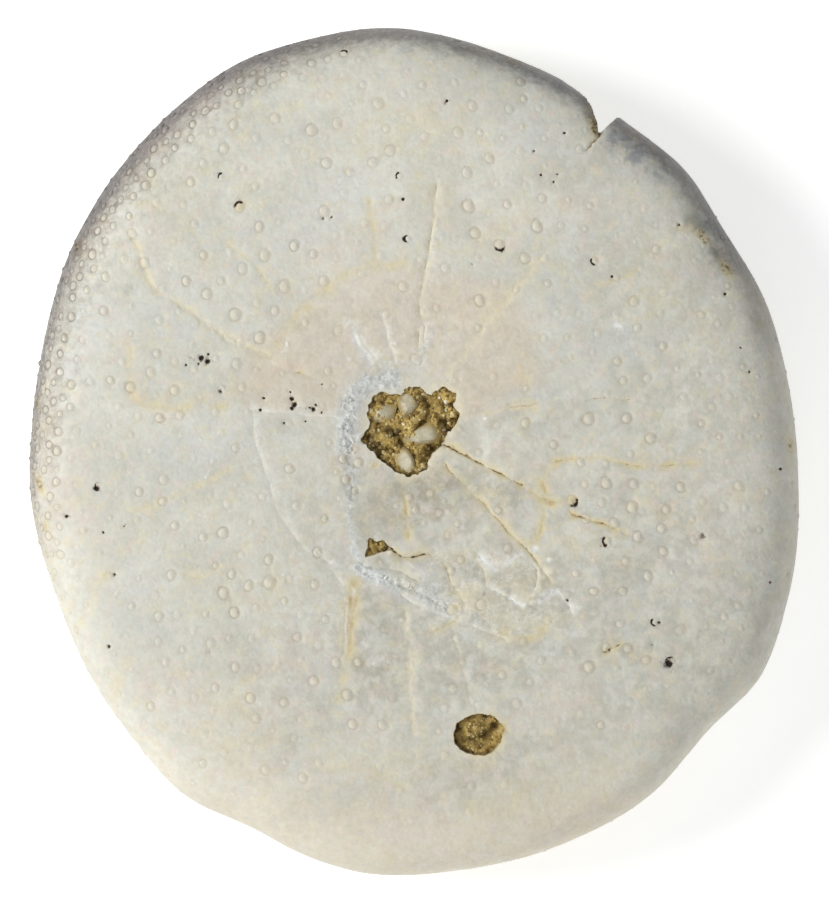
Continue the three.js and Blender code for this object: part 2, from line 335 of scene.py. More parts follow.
# dirt in pits: place, radius, and how black it is
pits = [
    (-6.75, 4.9, 0.16, 1), (-6.65, 4.5, 0.2, 1), (-6.9, 4.3, 0.12, 1), (-5.55, 3.95, 0.16, 1),
    (-5.35, 4.2, 0.09, 1), (-5.75, 4.1, 0.08, 1), (-6.75, 5.35, 0.08, 0.9), (-7.6, 3.5, 0.1, 0.8),
    (-8.5, 5.35, 0.1, 0.9), (-8.9, 4.65, 0.12, 0.9), (-6.2, 3.3, 0.07, 0.8), (-4.65, 5.4, 0.07, 0.7),
    (-11.85, 8.75, 0.2, 1), (-11.5, 8.45, 0.2, 1), (-12.1, 8.45, 0.09, 0.9), (-12.9, 8.55, 0.1, 0.9),
    (-12.5, 8.95, 0.07, 0.8), (-11.35, 8.9, 0.1, 0.9), (-11.1, 6.4, 0.18, 0.6), (-5.1, 3.6, 0.06, 0.9),
    (-2.2, 15.8, 0.13, 0.7), (-1.65, 15.75, 0.09, 0.8), (3.1, 15.85, 0.12, 1), (2.6, 13.35, 0.14, 0.9),
    (7.25, 21.4, 0.13, 1), (-20.3, 2.05, 0.2, 1), (-22.6, 0.75, 0.15, 0.9), (-20.5, -0.8, 0.1, 0.9),
    (-20.4, -3.6, 0.15, 0.7), (-21.8, -8.05, 0.13, 0.9), (15.1, 8.0, 0.12, 0.9), (14.2, 17.7, 0.1, 0.9),
    (12, 17, 0.12, 0.6), (12.1, 15.4, 0.1, 0.8), (12.8, 14.8, 0.1, 0.9), (13.15, 15.2, 0.07, 0.8),
    (20.1, 10.3, 0.12, 0.7), (22.0, 5.3, 0.13, 0.8), (22.4, 0.05, 0.1, 0.8), (23, -6.5, 0.11, 0.8),
    (17.1, -9.6, 0.22, 0.6), (13.1, -14.4, 0.14, 0.7), (12.4, -15.7, 0.14, 0.6), (9.6, -15.4, 0.2, 0.5),
    (13.15, -17.15, 0.27, 1), (7.7, -11.7, 0.1, 0.8), (20.7, -13.5, 0.09, 0.9), (-18.3, 17.8, 0.18, 0.7),
    (-18.2, 17.5, 0.12, 0.8), (10.9, -8.8, 0.14, 0.6), (-19.1, -0.7, 0.08, 0.8), (9.6, -5.75, 0.22, 0.6),
    (-15.5, -9.8, 0.08, 0.4), (8.6, 11.3, 0.1, 0.7), (6.5, 10.8, 0.08, 0.5), (22.2, 1.7, 0.08, 0.7),
]

# small white chips: place, radius
chips = [
    (14.7, 4.9, 0.2), (14.95, 4.75, 0.1), (-9.8, -6.0, 0.12), (6.4, -8.0, 0.22), (7.1, -8.9, 0.16),
    (-6.6, -5.9, 0.12), (-2.6, 6.6, 0.14), (0.5, 6.9, 0.12), (5.1, 0.9, 0.12), (-13.3, 1.2, 0.1),
    (-5.4, -12.9, 0.12),
]

# bold knobs: place, radius of the ring round it, and towards what angle dirt lies in the ring, if any
boldKnobs = [
    (-9.1, 11.0, 0.52), (-5.6, 12.1, 0.5), (-7.9, 9.2, 0.5), (-6.4, 14.3, 0.48), (-7.3, 17.7, 0.42, 95),
    (-6.3, 16.2, 0.4), (-1.7, 21.5, 0.45), (-1.2, 19.2, 0.4), (1.7, 18.6, 0.42), (7.1, 14.5, 0.52),
    (7.5, 16.6, 0.44), (8.5, 11.6, 0.46, 255), (11.1, 12.3, 0.52), (9.9, 10.4, 0.46), (12.2, 21.6, 0.4),
    (-10.8, -6.3, 0.55), (-13.8, -6.3, 0.5), (-13, -2.5, 0.48), (-15.3, 5.6, 0.42), (-14, 7.1, 0.44),
    (-15.2, 8.6, 0.44), (11.6, -0.6, 0.54), (14, -1.1, 0.48), (15.2, -2.7, 0.46), (11.8, -4.9, 0.5),
    (13.1, -6.8, 0.52), (9.4, -5.5, 0.46, 300), (13, -8.7, 0.44), (15.2, -7.4, 0.4), (-7.5, -14.5, 0.46),
    (-7.6, -16.4, 0.42), (8.1, -16.2, 0.48), (-1, -22, 0.4), (-4.4, 0.4, 0.4), (-3.45, -0.05, 0.42),
    (-3.4, 0.85, 0.32), (-4.5, -0.95, 0.44), (-0.75, -2.95, 0.36), (0.6, -3.0, 0.4), (-0.55, -3.8, 0.34),
    (0.9, -4.35, 0.36), (4.25, -1.15, 0.34), (7.6, 0.0, 0.42), (3.4, 0.6, 0.32), (-8.0, 19.85, 0.3, 120),
    (3.2, 17.35, 0.3, 150), (2.85, 13.3, 0.3, 170), (1.45, 25.9, 0.32, 60), (-10.9, 8.5, 0.34),
    (-20.15, 2.25, 0.28, 180), (14.25, 9.25, 0.34, 200), (15.4, 7.9, 0.34), (13.3, -17.0, 0.36, 140),
    (12.9, -14.3, 0.34, 190), (11, -8.6, 0.38, 170), (-4.1, 6.15, 0.36), (-6.4, -3.1, 0.34), (6.0, 6.7, 0.34),
    (6.5, 8.4, 0.5), (-7.9, 0.55, 0.42), (0.8, -8.15, 0.38), (1.6, -7.6, 0.34), (1.1, -5.9, 0.32),
    (5.8, 0.3, 0.34), (-5.0, -0.3, 0.3), (-4.1, -1.75, 0.34), (-5.2, -2.0, 0.3), (-5.0, 1.6, 0.3),
    (1.35, -3.7, 0.32), (-0.2, -4.75, 0.3), (1.9, -5.3, 0.32), (4.6, 1.6, 0.32), (-1.7, -3.3, 0.3),
    (0.1, -2.25, 0.26), (-4.9, 4.1, 0.3), (-3.9, 5.1, 0.28), (-10.6, 12.7, 0.44), (-11.7, 13.8, 0.42),
    (-4.4, 14.5, 0.42), (9.1, 17.2, 0.4), (16.4, -6.2, 0.42), (18.3, 9.1, 0.42), (-9.4, -13.1, 0.44),
    (8.0, -20.0, 0.34),
]

# crushed, chalky bands: path in plan, half width, strength
crushed = [
    ([(-0.2, 4.8), (-1.7, 4.8), (-2.9, 4.1), (-3.65, 2.8), (-3.9, 1.2)], 0.72, 0.95),
    ([(-3.9, 1.2), (-4.2, -0.4), (-4.4, -2.0)], 0.5, 0.65),
    ([(-4.6, -2.0), (-4.9, -4.0), (-4.9, -5.5), (-4.7, -7)], 0.24, 0.6),
    ([(-3.1, 1.6), (-3.6, 0.6), (-3.4, -0.4)], 0.4, 0.55),
    ([(-4.9, -6.7), (-3.9, -7.5), (-2.6, -8.3), (-1.2, -9.4), (0.0, -10.4)], 0.46, 1.0),
    ([(-0.6, -10.4), (0.6, -11.0), (2.2, -12.0)], 0.3, 0.42),
    ([(3.4, -11.3), (5.4, -11.5), (7.0, -10.8), (7.9, -11.3)], 0.22, 0.5),
    ([(2.4, -12.0), (3.3, -12.8), (4.6, -13.2)], 0.26, 0.4),
    ([(2.8, -8.0), (4.3, -8.3), (5.6, -8.1)], 0.18, 0.4),
    ([(1.3, 5.6), (2.6, 6.4), (3.0, 7.0)], 0.3, 0.5),
    ([(-0.6, 5.8), (0.6, 5.6), (2.0, 5.5)], 0.4, 0.4),
    ([(3.2, 3.9), (4.0, 3.9)], 0.3, 0.35),
]

# stains that follow no line: place, half sizes, turn in degrees, ochre, dark
stains = [
    (8.0, -5.3, 0.7, 0.35, -20, 0.9, 0), (6.2, -7.5, 0.6, 0.3, 35, 0.8, 0),
    (-2.7, -0.5, 0.32, 0.2, 10, 0.9, 0.55), (-2.3, -2.6, 0.7, 1.4, 20, 0.25, 0),
    (-6.9, -11.8, 0.35, 1.5, -22, 0.5, 0), (0.2, -20.8, 1.6, 0.5, 0, 0.35, 0.1),
    (21.4, 9.3, 0.9, 0.4, -60, 0.7, 0.62), (22.5, 6.8, 0.8, 0.4, -70, 0.8, 0.6),
    (24.0, -5.2, 0.6, 0.35, 80, 0.6, 0.5), (11.9, 23.2, 0.9, 0.35, -35, 0.6, 0.5),
    (20.2, 10.0, 0.7, 0.25, -20, 0.6, 0.25), (-20.9, -3.5, 1.0, 0.5, 30, 0.4, 0.2),
    (1.0, -9.8, 0.9, 0.4, 20, 0.5, 0), (6.9, 8.3, 1.0, 0.8, 10, 0.35, 0), (-21.9, -10.6, 1.4, 0.6, 60, 0.45, 0),
    (4.5, -13.3, 1.5, 0.5, 5, 0.4, 0), (-6, 9.3, 3.0, 0.5, 25, 0.25, 0), (-12.6, 6.2, 1.6, 0.5, -5, 0.35, 0),
    # the stains at (16.15, 17.7) and (16.2, 19.0), along the notch's left lip, are brown dirt and partly painted
    # shade
    (16.15, 17.7, 0.42, 1.0, -8, 0.5, 0.66), (-3.8, -4.3, 0.4, 0.5, 0, 0.5, 0.25),
    (2.6, -0.5, 0.35, 0.25, -40, 0.9, 0.3), (9.4, -5.5, 0.42, 0.36, 0, 1.0, 0.35),
    (-7.3, 17.7, 0.34, 0.34, 0, 0.9, 0.15), (11.0, -16.2, 0.3, 0.3, 0, 0.8, 0.4),
    (-10.0, 14.6, 1.2, 1.0, 30, 0.3, 0), (0.8, 15.4, 0.5, 0.9, 0, 0.4, 0), (-6.3, 18.9, 1.4, 0.8, 10, 0.25, 0),
    (7.0, 7.4, 1.3, 0.9, 20, 0.4, 0), (8.2, 2.9, 0.9, 0.6, 0, 0.4, 0), (16.2, 19.0, 0.4, 1.2, 10, 0.3, 0.45),
    (3.0, -12.9, 1.0, 0.5, -15, 0.6, 0.05), (0.7, -10.4, 0.9, 0.5, 30, 0.7, 0.1),
    (-1.2, -11.6, 0.8, 0.4, 0, 0.4, 0), (-3.4, -12.2, 0.4, 0.4, 0, 0.4, 0),
    (1.9, -18.9, 0.28, 0.7, 0, 0.9, 0.2), (1.4, -19.9, 0.5, 0.25, 40, 0.8, 0.1),
    (-23.9, 3.2, 0.3, 0.8, 8, 0.9, 0.45), (-24.1, 0.4, 0.25, 0.5, 0, 0.8, 0.35),
    (-18.1, 17.6, 0.4, 1.0, -42, 0.7, 0.5), (-22.9, 8.4, 0.25, 0.6, -15, 0.8, 0.3),
    (-1.7, -18.9, 0.3, 0.5, 10, 0.4, 0.1), (-16.6, -5.6, 0.9, 0.5, 20, 0.3, 0),
    (13.5, -2.6, 0.8, 0.3, -10, 0.4, 0),
]

# slow washes of colour: place, half sizes, turn in degrees, strength of each tint
washes = {
    "cool": [
        (-3.4, 16.1, 6, 2.2, 20, 0.9), (-13.1, 11.6, 3.4, 2.6, 30, 0.6), (-19.1, 11.7, 2.4, 4.0, -20, 0.8),
        (-13, 3.5, 4.0, 1.6, 5, 0.7), (2.1, 9.5, 1.6, 1.8, 0, 0.6), (11.0, 7.5, 2.4, 1.6, 20, 0.4),
        (14.9, 3.6, 3.4, 1.5, 10, 0.6), (7.2, 5.2, 1.4, 1.0, 30, 0.6), (12.0, 18.2, 3.0, 1.6, -35, 0.6),
        (-19.5, -5.5, 2.6, 3.4, 0, 0.5), (-8.9, -12.5, 1.8, 2.6, 20, 0.5), (-1.2, -8.7, 1.5, 1.0, -30, 1.0),
        (13.5, -12.4, 3.6, 1.6, 20, 0.5), (-3.2, 21.5, 3.0, 1.2, 10, 0.6), (18.4, 15.6, 2.4, 1.0, -55, 0.8),
    ],
    "frost": [
        (-3.7, -7.8, 1.3, 0.55, -35, 1.0), (-1.9, -9.3, 1.9, 0.65, -36, 1.0), (0.2, -10.9, 1.3, 0.45, -30, 0.9),
        (-0.9, -8.0, 1.3, 0.8, -30, 0.5), (3.9, -8.5, 1.3, 0.3, -5, 0.45), (-4.9, -5.2, 0.3, 1.3, 0, 0.7),
        (-3.7, 2.2, 0.5, 1.6, -25, 0.6), (-2.4, 4.6, 1.3, 0.6, 25, 0.6), (0.8, 5.4, 1.8, 0.6, 0, 0.4),
    ],
    "straw": [
        (3.8, 20.4, 5.0, 2.0, -10, 0.7), (-11.0, 19.2, 3.2, 1.8, 35, 0.35), (-14.5, 9.0, 1.4, 3.0, 20, 0.25),
        (-11.5, -6.4, 3.4, 2.0, -10, 0.5), (9.3, 12.6, 2.6, 1.4, 40, 0.6), (4.8, 17.2, 1.8, 2.4, 0, 0.5),
        (17.6, 7.0, 1.6, 3.0, -10, 0.5), (-15.6, -14.8, 2.4, 3.4, 40, 0.6), (2.2, -23.6, 7.0, 1.6, 5, 0.6),
        (9.3, -8.2, 2.0, 1.2, -30, 0.5), (-6.2, -19.6, 3.4, 1.6, -20, 0.5), (15.8, -4.4, 2.4, 1.4, 0, 0.4),
    ],
    "rose": [
        (-6.5, 7.0, 2.4, 1.8, 20, 0.6), (-3.0, 13.4, 2.0, 1.2, 10, 0.5), (5.0, 8.3, 2.2, 1.6, 20, 0.7),
        (-21.6, 2.0, 1.6, 4.6, 5, 0.6), (-12.6, 17.6, 2.6, 1.2, 40, 0.5), (14.4, 12.8, 2.6, 1.2, -30, 0.5),
        (-10.4, -11.4, 2.8, 2.4, 0, 0.4), (5.5, -17.6, 3.4, 1.6, 10, 0.5), (-18.6, -11.4, 1.8, 3.6, 35, 0.6),
        (18.2, -9.4, 2.0, 2.8, 0, 0.5), (8.2, 2.6, 1.6, 0.9, 0, 0.6), (-6.2, -23.4, 4.4, 1.3, -15, 0.5),
    ],
    # blue-grey beside the notch and along the front right rim: painted shade with a blue-grey tint
    "slateShade": [
        (18.8, 15.5, 3.0, 1.35, -50, 1.0), (17.5, 16.6, 0.8, 1.2, -20, 1.0), (22.0, 9.4, 0.7, 2.4, 14, 0.8),
        (13.6, 21.4, 3.2, 0.5, -38, 0.5),
    ],
    # an olive tone below and behind the mouth, and painted shade along the notch's left lip and at the front right
    # rim's edge
    "oliveAndShade": [
        (0.6, -2.5, 2.3, 1.1, -15, 0.22), (2.4, -9.6, 1.2, 0.8, 0, 0.12), (16.15, 18.6, 0.5, 1.5, 3, 1.0),
        (16.3, 17.5, 0.4, 0.6, 0, 1.0), (20.9, 10.2, 0.5, 0.9, 25, 0.6), (22.2, 7.6, 0.4, 1.0, 18, 0.7),
        (23.6, 3.2, 0.35, 0.9, 5, 0.5), (9.2, 24.4, 0.9, 0.3, -22, 0.6),
    ],
    # darker towards the rear and the right as painted shade, and a duller tone below and right of the mouth
    "dullAndShade": [
        (1.5, -10.5, 10.5, 8.5, 0, 1.0), (-8.5, -12.0, 6.0, 5.0, 0, 0.75), (12.5, -12.0, 10.0, 10.0, 0, 0.9),
        (0.0, -21.0, 9.0, 3.0, 0, 0.8), (15.0, 15.5, 4.0, 4.0, 0, 0.5), (18.0, 3.0, 6.5, 11.0, 0, 0.65),
        (0.8, -3.4, 6.5, 3.6, 0, 1.0), (6.5, 1.0, 6.0, 5.0, 0, 0.8),
    ],
    "ash": [
        (4.6, -4.0, 2.9, 1.6, -42, 1.0), (-5.0, -12.4, 2.0, 4.0, -12, 0.8), (3.8, -10.0, 3.4, 2.1, -8, 0.9),
        (0.6, -3.0, 2.7, 2.1, 15, 1.0), (-2.6, -3.4, 1.3, 2.2, 10, 0.55), (0.5, -14.6, 2.4, 1.8, 0, 0.4),
        (-7.4, -2.2, 1.8, 3.0, 0, 0.3), (11.5, -10.8, 2.4, 1.6, 0, 0.3), (-12.4, -17.2, 3.0, 1.4, -40, 0.3),
    ],
}

# the pinkish area in front of the mouth
fleshArea = [
    (-8.6, 8.4), (-5.5, 10), (-2.5, 11.7), (0, 12), (3, 11.2), (6, 9.7), (9, 8.6), (9.5, 6), (8.6, 2.5),
    (4.2, 1.5), (2.0, 5.0), (-2.0, 5.6), (-4.4, 3.6), (-9.3, 4.6), (-9.8, 6.5),
]

# the crazed plates behind the mouth, in an oval that leans
plates = {"middle": (2.6, -10.0), "half": (6.0, 2.9), "lean": 0.32}

# the sunken ring round the mouth and the slab that gave way behind it
slab = {"middle": (0.2, -2.2), "half": (4.9, 8.2), "depth": 0.16, "uneven": 0.05}

seed = 41
random.seed(seed)
noise.seed_set(seed)    # vector noise would start from the clock otherwise
draw = np.random.default_rng(seed)

holeLoops = {}
for name, hole in holes.items():
    loop = evenPath(smoothCurve(hole["edge"], True, 6)[:-1], 0.13, closed=True)
    holeLoops[name] = wobble(wobble(loop, hole["ragged"], 0.45, 3.0), hole["ragged"] * 0.6, 0.16, 8.0)
print("holes outlined:", {name: len(loop) for name, loop in holeLoops.items()})


def clearOfHoles(plan, gap):
    free = np.ones(len(plan), bool)
    for loop in holeLoops.values():
        free &= ~insideLoop(plan, loop) & (distanceToPath(plan, closedLoop(loop), gap + 0.1) > gap)
    return free


# knobs, scattered so that none touch

knobField = {
    "spacingNearMouth": 2.3, "spacing": 1.28, "spacingAtRim": 1.0, "spacingCrowded": 0.75,
    "ring": 0.39, "ringAtRim": 0.28, "ringCrowded": 0.35,
    "crowdedTowards": 143,      # degrees: the front left of the rim
    "spacingBelow": 1.3, "spacingBelowRim": 1.08, "ringBelow": 0.31, "ringBelowRim": 0.30,
    "clearOfRim": 0.35, "clearOfHoles": 0.42, "clearOfPores": 0.5,
    "tries": 30000,
    # how far they stand up, as a share
    "relief": (0.26, 0.74), "reliefSpread": (1.2, 2.2), "boldRelief": (0.62, 0.3),
    "crowdedMore": 0.4, "rearLess": 0.5, "rimMore": 1.1, "reliefBelow": (0.9, 1.7), "belowRimMore": 0.6,
}


def scatter(placed, reach, spacingAt, tries):
    count = len(placed)
    table = np.zeros((count + tries, 3))
    table[:count] = placed
    angles = draw.uniform(-math.pi, math.pi, tries)
    radii = reach * np.sqrt(draw.uniform(0, 1, tries))
    layouts = polar(radii, angles)
    apart, ring = spacingAt(layouts)
    for (x, y), gap, size in zip(layouts, apart, ring):
        if gap <= 0:
            continue
        d2 = (table[:count, 0] - x) ** 2 + (table[:count, 1] - y) ** 2
        room = (gap * 0.5 + np.maximum(table[:count, 2] * 1.12, gap * 0.5)) ** 2
        if (d2 > room).all():
            table[count] = (x, y, size)
            count += 1
    return table[:count]


def upperSpacing(layouts):
    place, _, _ = placeOf(layouts, True)
    along = np.hypot(*layouts.T)
    plan = place[:, :2]
    toMouth = np.hypot(plan[:, 0] - 0.3, plan[:, 1] - 0.5)
    bare = 1 - ease(toMouth, 7.5, 12.5)
    f = knobField
    towards = np.cos(np.arctan2(layouts[:, 1], layouts[:, 0]) - math.radians(f["crowdedTowards"]))
    crowd = ease(towards, 0.5, 0.75) * ease(along, 23.2, 24.2)
    edge = ease(along, 21.5, 25.0)
    apart = f["spacing"] + (f["spacingNearMouth"] - f["spacing"]) * bare
    apart = apart + (f["spacingAtRim"] - apart) * edge
    apart = apart + (f["spacingCrowded"] - apart) * crowd
    ring = f["ring"] + (f["ringAtRim"] - f["ring"]) * edge
    ring = ring + (f["ringCrowded"] - ring) * crowd
    ring = ring * draw.uniform(0.68, 1.14, len(ring))
    apart[~clearOfHoles(plan, f["clearOfHoles"])] = 0
    apart[along > rimAt - f["clearOfRim"]] = 0
    return apart, ring


boldPlaces = layoutOf([(k[0], k[1]) for k in boldKnobs])
bold = np.column_stack([boldPlaces, [k[2] for k in boldKnobs]])
upperKnobs = scatter(bold, rimAt, upperSpacing, knobField["tries"])
print("knobs on the mouth side:", len(upperKnobs))

# petals and the apical disc, on the side that rests down: layout positions are seen from below
petals = {"angles": [90, 162, 234, 306, 18], "start": 2.3, "end": 16.8, "halfWidth": 2.5, "pairStep": 0.52,
          "pore": 0.1, "pairGap": 0.85, "uneven": 0.03, "lean": 0.45,
          "gonopores": 4, "gonoporeReach": 1.35, "gonopore": 0.16}


def petalHalf(share):
    return 0.3 + petals["halfWidth"] * np.sin(np.pi * np.clip(share, 0, 1) ** 0.8 * 0.9)


def petalPores():
    pores, slits, uneven = [], [], petals["uneven"]
    for angle in petals["angles"]:
        way = math.radians(angle)
        along = np.arange(petals["start"], petals["end"], petals["pairStep"])
        share = (along - petals["start"]) / (petals["end"] - petals["start"])
        half = petalHalf(share)
        gap = petals["pairGap"] * (0.35 + 0.65 * np.sin(np.pi * np.clip(share * 0.85 + 0.12, 0, 1)))
        for a, h, g in zip(along, half, gap):
            for side in (-1, 1):
                ends = []
                for extra in (0, g):
                    u = a + extra * petals["lean"] + random.uniform(-uneven, uneven)
                    v = side * (h + extra) + random.uniform(-uneven, uneven)
                    ends.append((u * math.cos(way) - v * math.sin(way), u * math.sin(way) + v * math.cos(way)))
                pores += [(*ends[0], petals["pore"]), (*ends[1], petals["pore"] * 0.85)]
                slits.append(ends)
    for k in range(petals["gonopores"]):
        way, reach = math.radians(54 + 72 * (k + 1)), petals["gonoporeReach"]    # one between each two petals
        pores.append((reach * math.cos(way), reach * math.sin(way), petals["gonopore"]))
    return np.array(pores), np.array(slits)


poreSpots, slitEnds = petalPores()
poreTree = treeOf(poreSpots[:, :2])


def lowerSpacing(layouts):
    along = np.hypot(*layouts.T)
    edge = ease(along, 17.0, 23.0)
    f = knobField
    apart = f["spacingBelow"] + (f["spacingBelowRim"] - f["spacingBelow"]) * edge
    ring = f["ringBelow"] + (f["ringBelowRim"] - f["ringBelow"]) * edge
    ring = ring * draw.uniform(0.8, 1.1, len(ring))
    apart[along > lastAt - rimAt - f["clearOfRim"]] = 0
    apart[along < petals["start"] - 0.1] = 0
    for i, (x, y) in enumerate(layouts):
        if poreTree.find((x, y, 0))[2] < f["clearOfPores"]:
            apart[i] = 0
    return apart, ring


lowerKnobs = scatter([(0, 0, 0.01)], lastAt - rimAt, lowerSpacing, knobField["tries"])[1:]
print("knobs on the petal side:", len(lowerKnobs))


# the shell's surface: every feature gets its own points, then each side is triangulated

# circles of points on a knob: share of its ring's radius, count
knobCircles = {
    "large": ((0, 1), (0.17, 5), (0.36, 7), (0.55, 9), (0.76, 11), (1.0, 13)),
    "atRim": ((0, 1), (0.22, 5), (0.44, 7), (0.7, 9), (1.0, 10)),
    "small": ((0, 1), (0.4, 6), (0.7, 8), (1.0, 10)),
    "below": ((0, 1), (0.5, 6), (1.0, 8)),
    "largeFrom": 0.33, "rimFrom": 23,
}

# a knob in section: share of its ring's radius, height, where 0.5 is level with the shell
knobProfile = [(0, 1.0), (0.12, 0.97), (0.22, 0.86), (0.36, 0.82), (0.5, 0.66), (0.62, 0.36), (0.75, 0.16),
               (0.88, 0.32), (1.0, 0.5), (1.12, 0.52), (1.5, 0.5)]
knobReach = knobProfile[-1][0]


def knobPoints(knobs, fine):
    points, c = [], knobCircles
    for x, y, size in knobs:
        if not fine:
            rings = c["below"]
        elif size > c["largeFrom"]:
            rings = c["large"]
        else:
            rings = c["atRim"] if math.hypot(x, y) > c["rimFrom"] else c["small"]
        turn = random.uniform(0, math.tau)
        for share, count in rings:
            points.append(ringOf(x, y, size * share, count, turn + share * 2))
    return np.vstack(points)


def plainPoints(reach, spacing, keep):
    rows = int(reach / (spacing * 0.866)) + 1
    grid = []
    for row in range(-rows, rows + 1):
        columns = np.arange(-reach, reach, spacing) + (row % 2) * spacing / 2
        grid.append(np.column_stack([columns, np.full(len(columns), row * spacing * 0.866)]))
    grid = np.vstack(grid)
    grid += draw.uniform(-0.22, 0.22, grid.shape) * spacing
    return grid[(np.hypot(*grid.T) < reach - spacing * 0.7) & keep(grid)]


def awayFrom(centres, sizes, share):
    tree = treeOf(centres)

    def test(points):
        found = [tree.find((x, y, 0)) for x, y in points]
        return np.array([f[2] > sizes[f[1]] * share for f in found])
    return test


def distinct(points, cell):
    keys = np.round(points / cell).astype(np.int64)
    _, first = np.unique(keys, axis=0, return_index=True)
    return points[np.sort(first)]


rimCount = int(2 * math.pi * shell["radius"] / shell["rimSpacing"])
ringAngles = np.linspace(-math.pi, math.pi, rimCount, endpoint=False)
notchAngles = np.radians(np.arange(44.6, 55.6, 0.36) + 0.011)
ringAngles = np.sort(np.concatenate([ringAngles, notchAngles]))
ringAngles = ringAngles[np.concatenate([[True], np.diff(ringAngles) > 1e-3])]

seamPaths = []
for number, (path, *_) in enumerate(seams):
    line = evenPath(smoothCurve(path, False, 8), 0.17)
    seamPaths.append(wobble(wobble(line, 0.16, 1.1, number * 3.7), 0.05, 0.25, number * 1.9))


def rowsAlong(path, gap):
    way = np.gradient(path, axis=0)
    way /= np.maximum(np.linalg.norm(way, axis=1, keepdims=True), 1e-9)
    side = np.column_stack([-way[:, 1], way[:, 0]])
    return np.vstack([path, path + side * gap, path - side * gap])


def notchPatch(reach, depth, spacing):
    first, last, step = shell["notchSpan"]
    angles, along = np.meshgrid(np.radians(np.arange(first, last, step)),
                                np.arange(reach - depth, reach - 0.15, spacing))
    return polar(along.ravel(), angles.ravel())


wallSteps = ((0.0, 0.0), (0.045, 0.1), (0.07, 0.5), (0.09, 1.0))    # in from a hole's edge, share of the way down


def loopEdges(start, count):
    return [[start + i, start + (i + 1) % count] for i in range(count)]


def upperSurface():
    fixed = [polar(np.full(len(ringAngles), rimAt), ringAngles)]
    edges = loopEdges(0, len(ringAngles))
    start = len(ringAngles)
    floorPoints = []
    for loop in holeLoops.values():
        for inset, _ in wallSteps:
            fixed.append(layoutOf(drawnIn(loop, inset)))
            edges += loopEdges(start, len(loop))
            start += len(loop)
        inner = drawnIn(loop, 0.26)
        grid = gridOver(inner.min(0), inner.max(0), 0.5)
        floorPoints.append(layoutOf(grid[insideLoop(grid, inner)]))
    fixed = np.vstack(fixed + floorPoints)

    loose = []
    for path, (_, width, *_) in zip(seamPaths, seams):
        rows = rowsAlong(path, max(0.075, min(width, 0.2) * 0.9))
        loose.append(layoutOf(rows))
    for x, y, size, _ in pits:
        for share, count in ((0, 1), (0.55, 6), (1.0, 8), (1.5, 9)):
            loose.append(layoutOf(ringOf(x, y, size * share, count, share)))
    for x, y, size in chips:
        for share, count in ((0, 1), (0.9, 6), (1.3, 7)):
            loose.append(layoutOf(ringOf(x, y, size * share, count)))
    loose.append(knobPoints(upperKnobs, True))
    lipAngle, lipRadius = np.array(shell["notch"]).T
    notchLine = evenPath(polar(lipRadius, np.radians(lipAngle)), 0.12)
    inRim = np.hypot(*notchLine.T) < rimRadius(np.arctan2(notchLine[:, 1], notchLine[:, 0])) - 0.15
    loose.append(layoutOf(notchLine[inRim]))
    loose = np.vstack(loose)
    plan = placeOf(loose, True)[0][:, :2]
    loose = loose[clearOfHoles(plan, 0.06) & (np.hypot(*loose.T) < rimAt - 0.12)]

    offKnobs = awayFrom(upperKnobs[:, :2], upperKnobs[:, 2], 1.25)
    seamDots = np.vstack([layoutOf(p) for p in seamPaths])
    offSeams = awayFrom(seamDots, np.full(len(seamDots), 0.3), 1.0)

    def keep(points):
        plan = placeOf(points, True)[0][:, :2]
        return offKnobs(points) & offSeams(points) & clearOfHoles(plan, 0.16)

    bend = shell["bend"]
    plain = [plainPoints(bend, shell["spacing"], keep),
             plainPoints(rimAt, shell["bendSpacing"], lambda p: (np.hypot(*p.T) > bend - 0.2) & keep(p))]
    for path, half, _ in crushed:
        dense = layoutOf(evenPath(path, 0.1))
        spread = gridOver(dense.min(0) - half, dense.max(0) + half, 0.14)
        spread = spread + draw.uniform(-0.05, 0.05, spread.shape)
        close = distanceToPath(spread, dense, 2) < half * 0.9
        plan = placeOf(spread, True)[0][:, :2]
        plain.append(spread[close & clearOfHoles(plan, 0.12)])
    plain.append(notchPatch(rimAt, 7.4, 0.2))
    loose = distinct(np.vstack([loose] + plain), 0.07)
    return fixed, edges, loose


def lowerSurface():
    reach = lastAt - rimAt
    fixed = polar(np.full(len(ringAngles), reach), ringAngles)
    edges = loopEdges(0, len(ringAngles))
    loose = []
    for x, y, size in poreSpots:
        for share, count in ((0, 1), (0.8, 5), (1.6, 7)):
            loose.append(ringOf(x, y, size * share, count, share))
    for a, b in slitEnds:
        line = a + (b - a) * np.array([[0.3], [0.5], [0.7]])
        across = np.array([a[1] - b[1], b[0] - a[0]]) / np.linalg.norm(b - a) * 0.11
        loose += [line, line + across, line - across]
    loose.append(knobPoints(lowerKnobs, False))
    offKnobs = awayFrom(lowerKnobs[:, :2], lowerKnobs[:, 2], 1.3)
    offPores = awayFrom(poreSpots[:, :2], poreSpots[:, 2], 2.0)
    bend = shell["bend"]
    loose.append(plainPoints(bend, shell["spacing"] * 1.2, lambda p: offKnobs(p) & offPores(p)))
    loose.append(plainPoints(reach, shell["bendSpacing"] * 1.2,
                             lambda p: (np.hypot(*p.T) > bend - 0.3) & offKnobs(p)))
    loose.append(notchPatch(reach, 5.4, 0.26))
    loose = np.vstack(loose)
    loose = loose[np.hypot(*loose.T) < reach - 0.12]
    return fixed, edges, distinct(loose, 0.05)


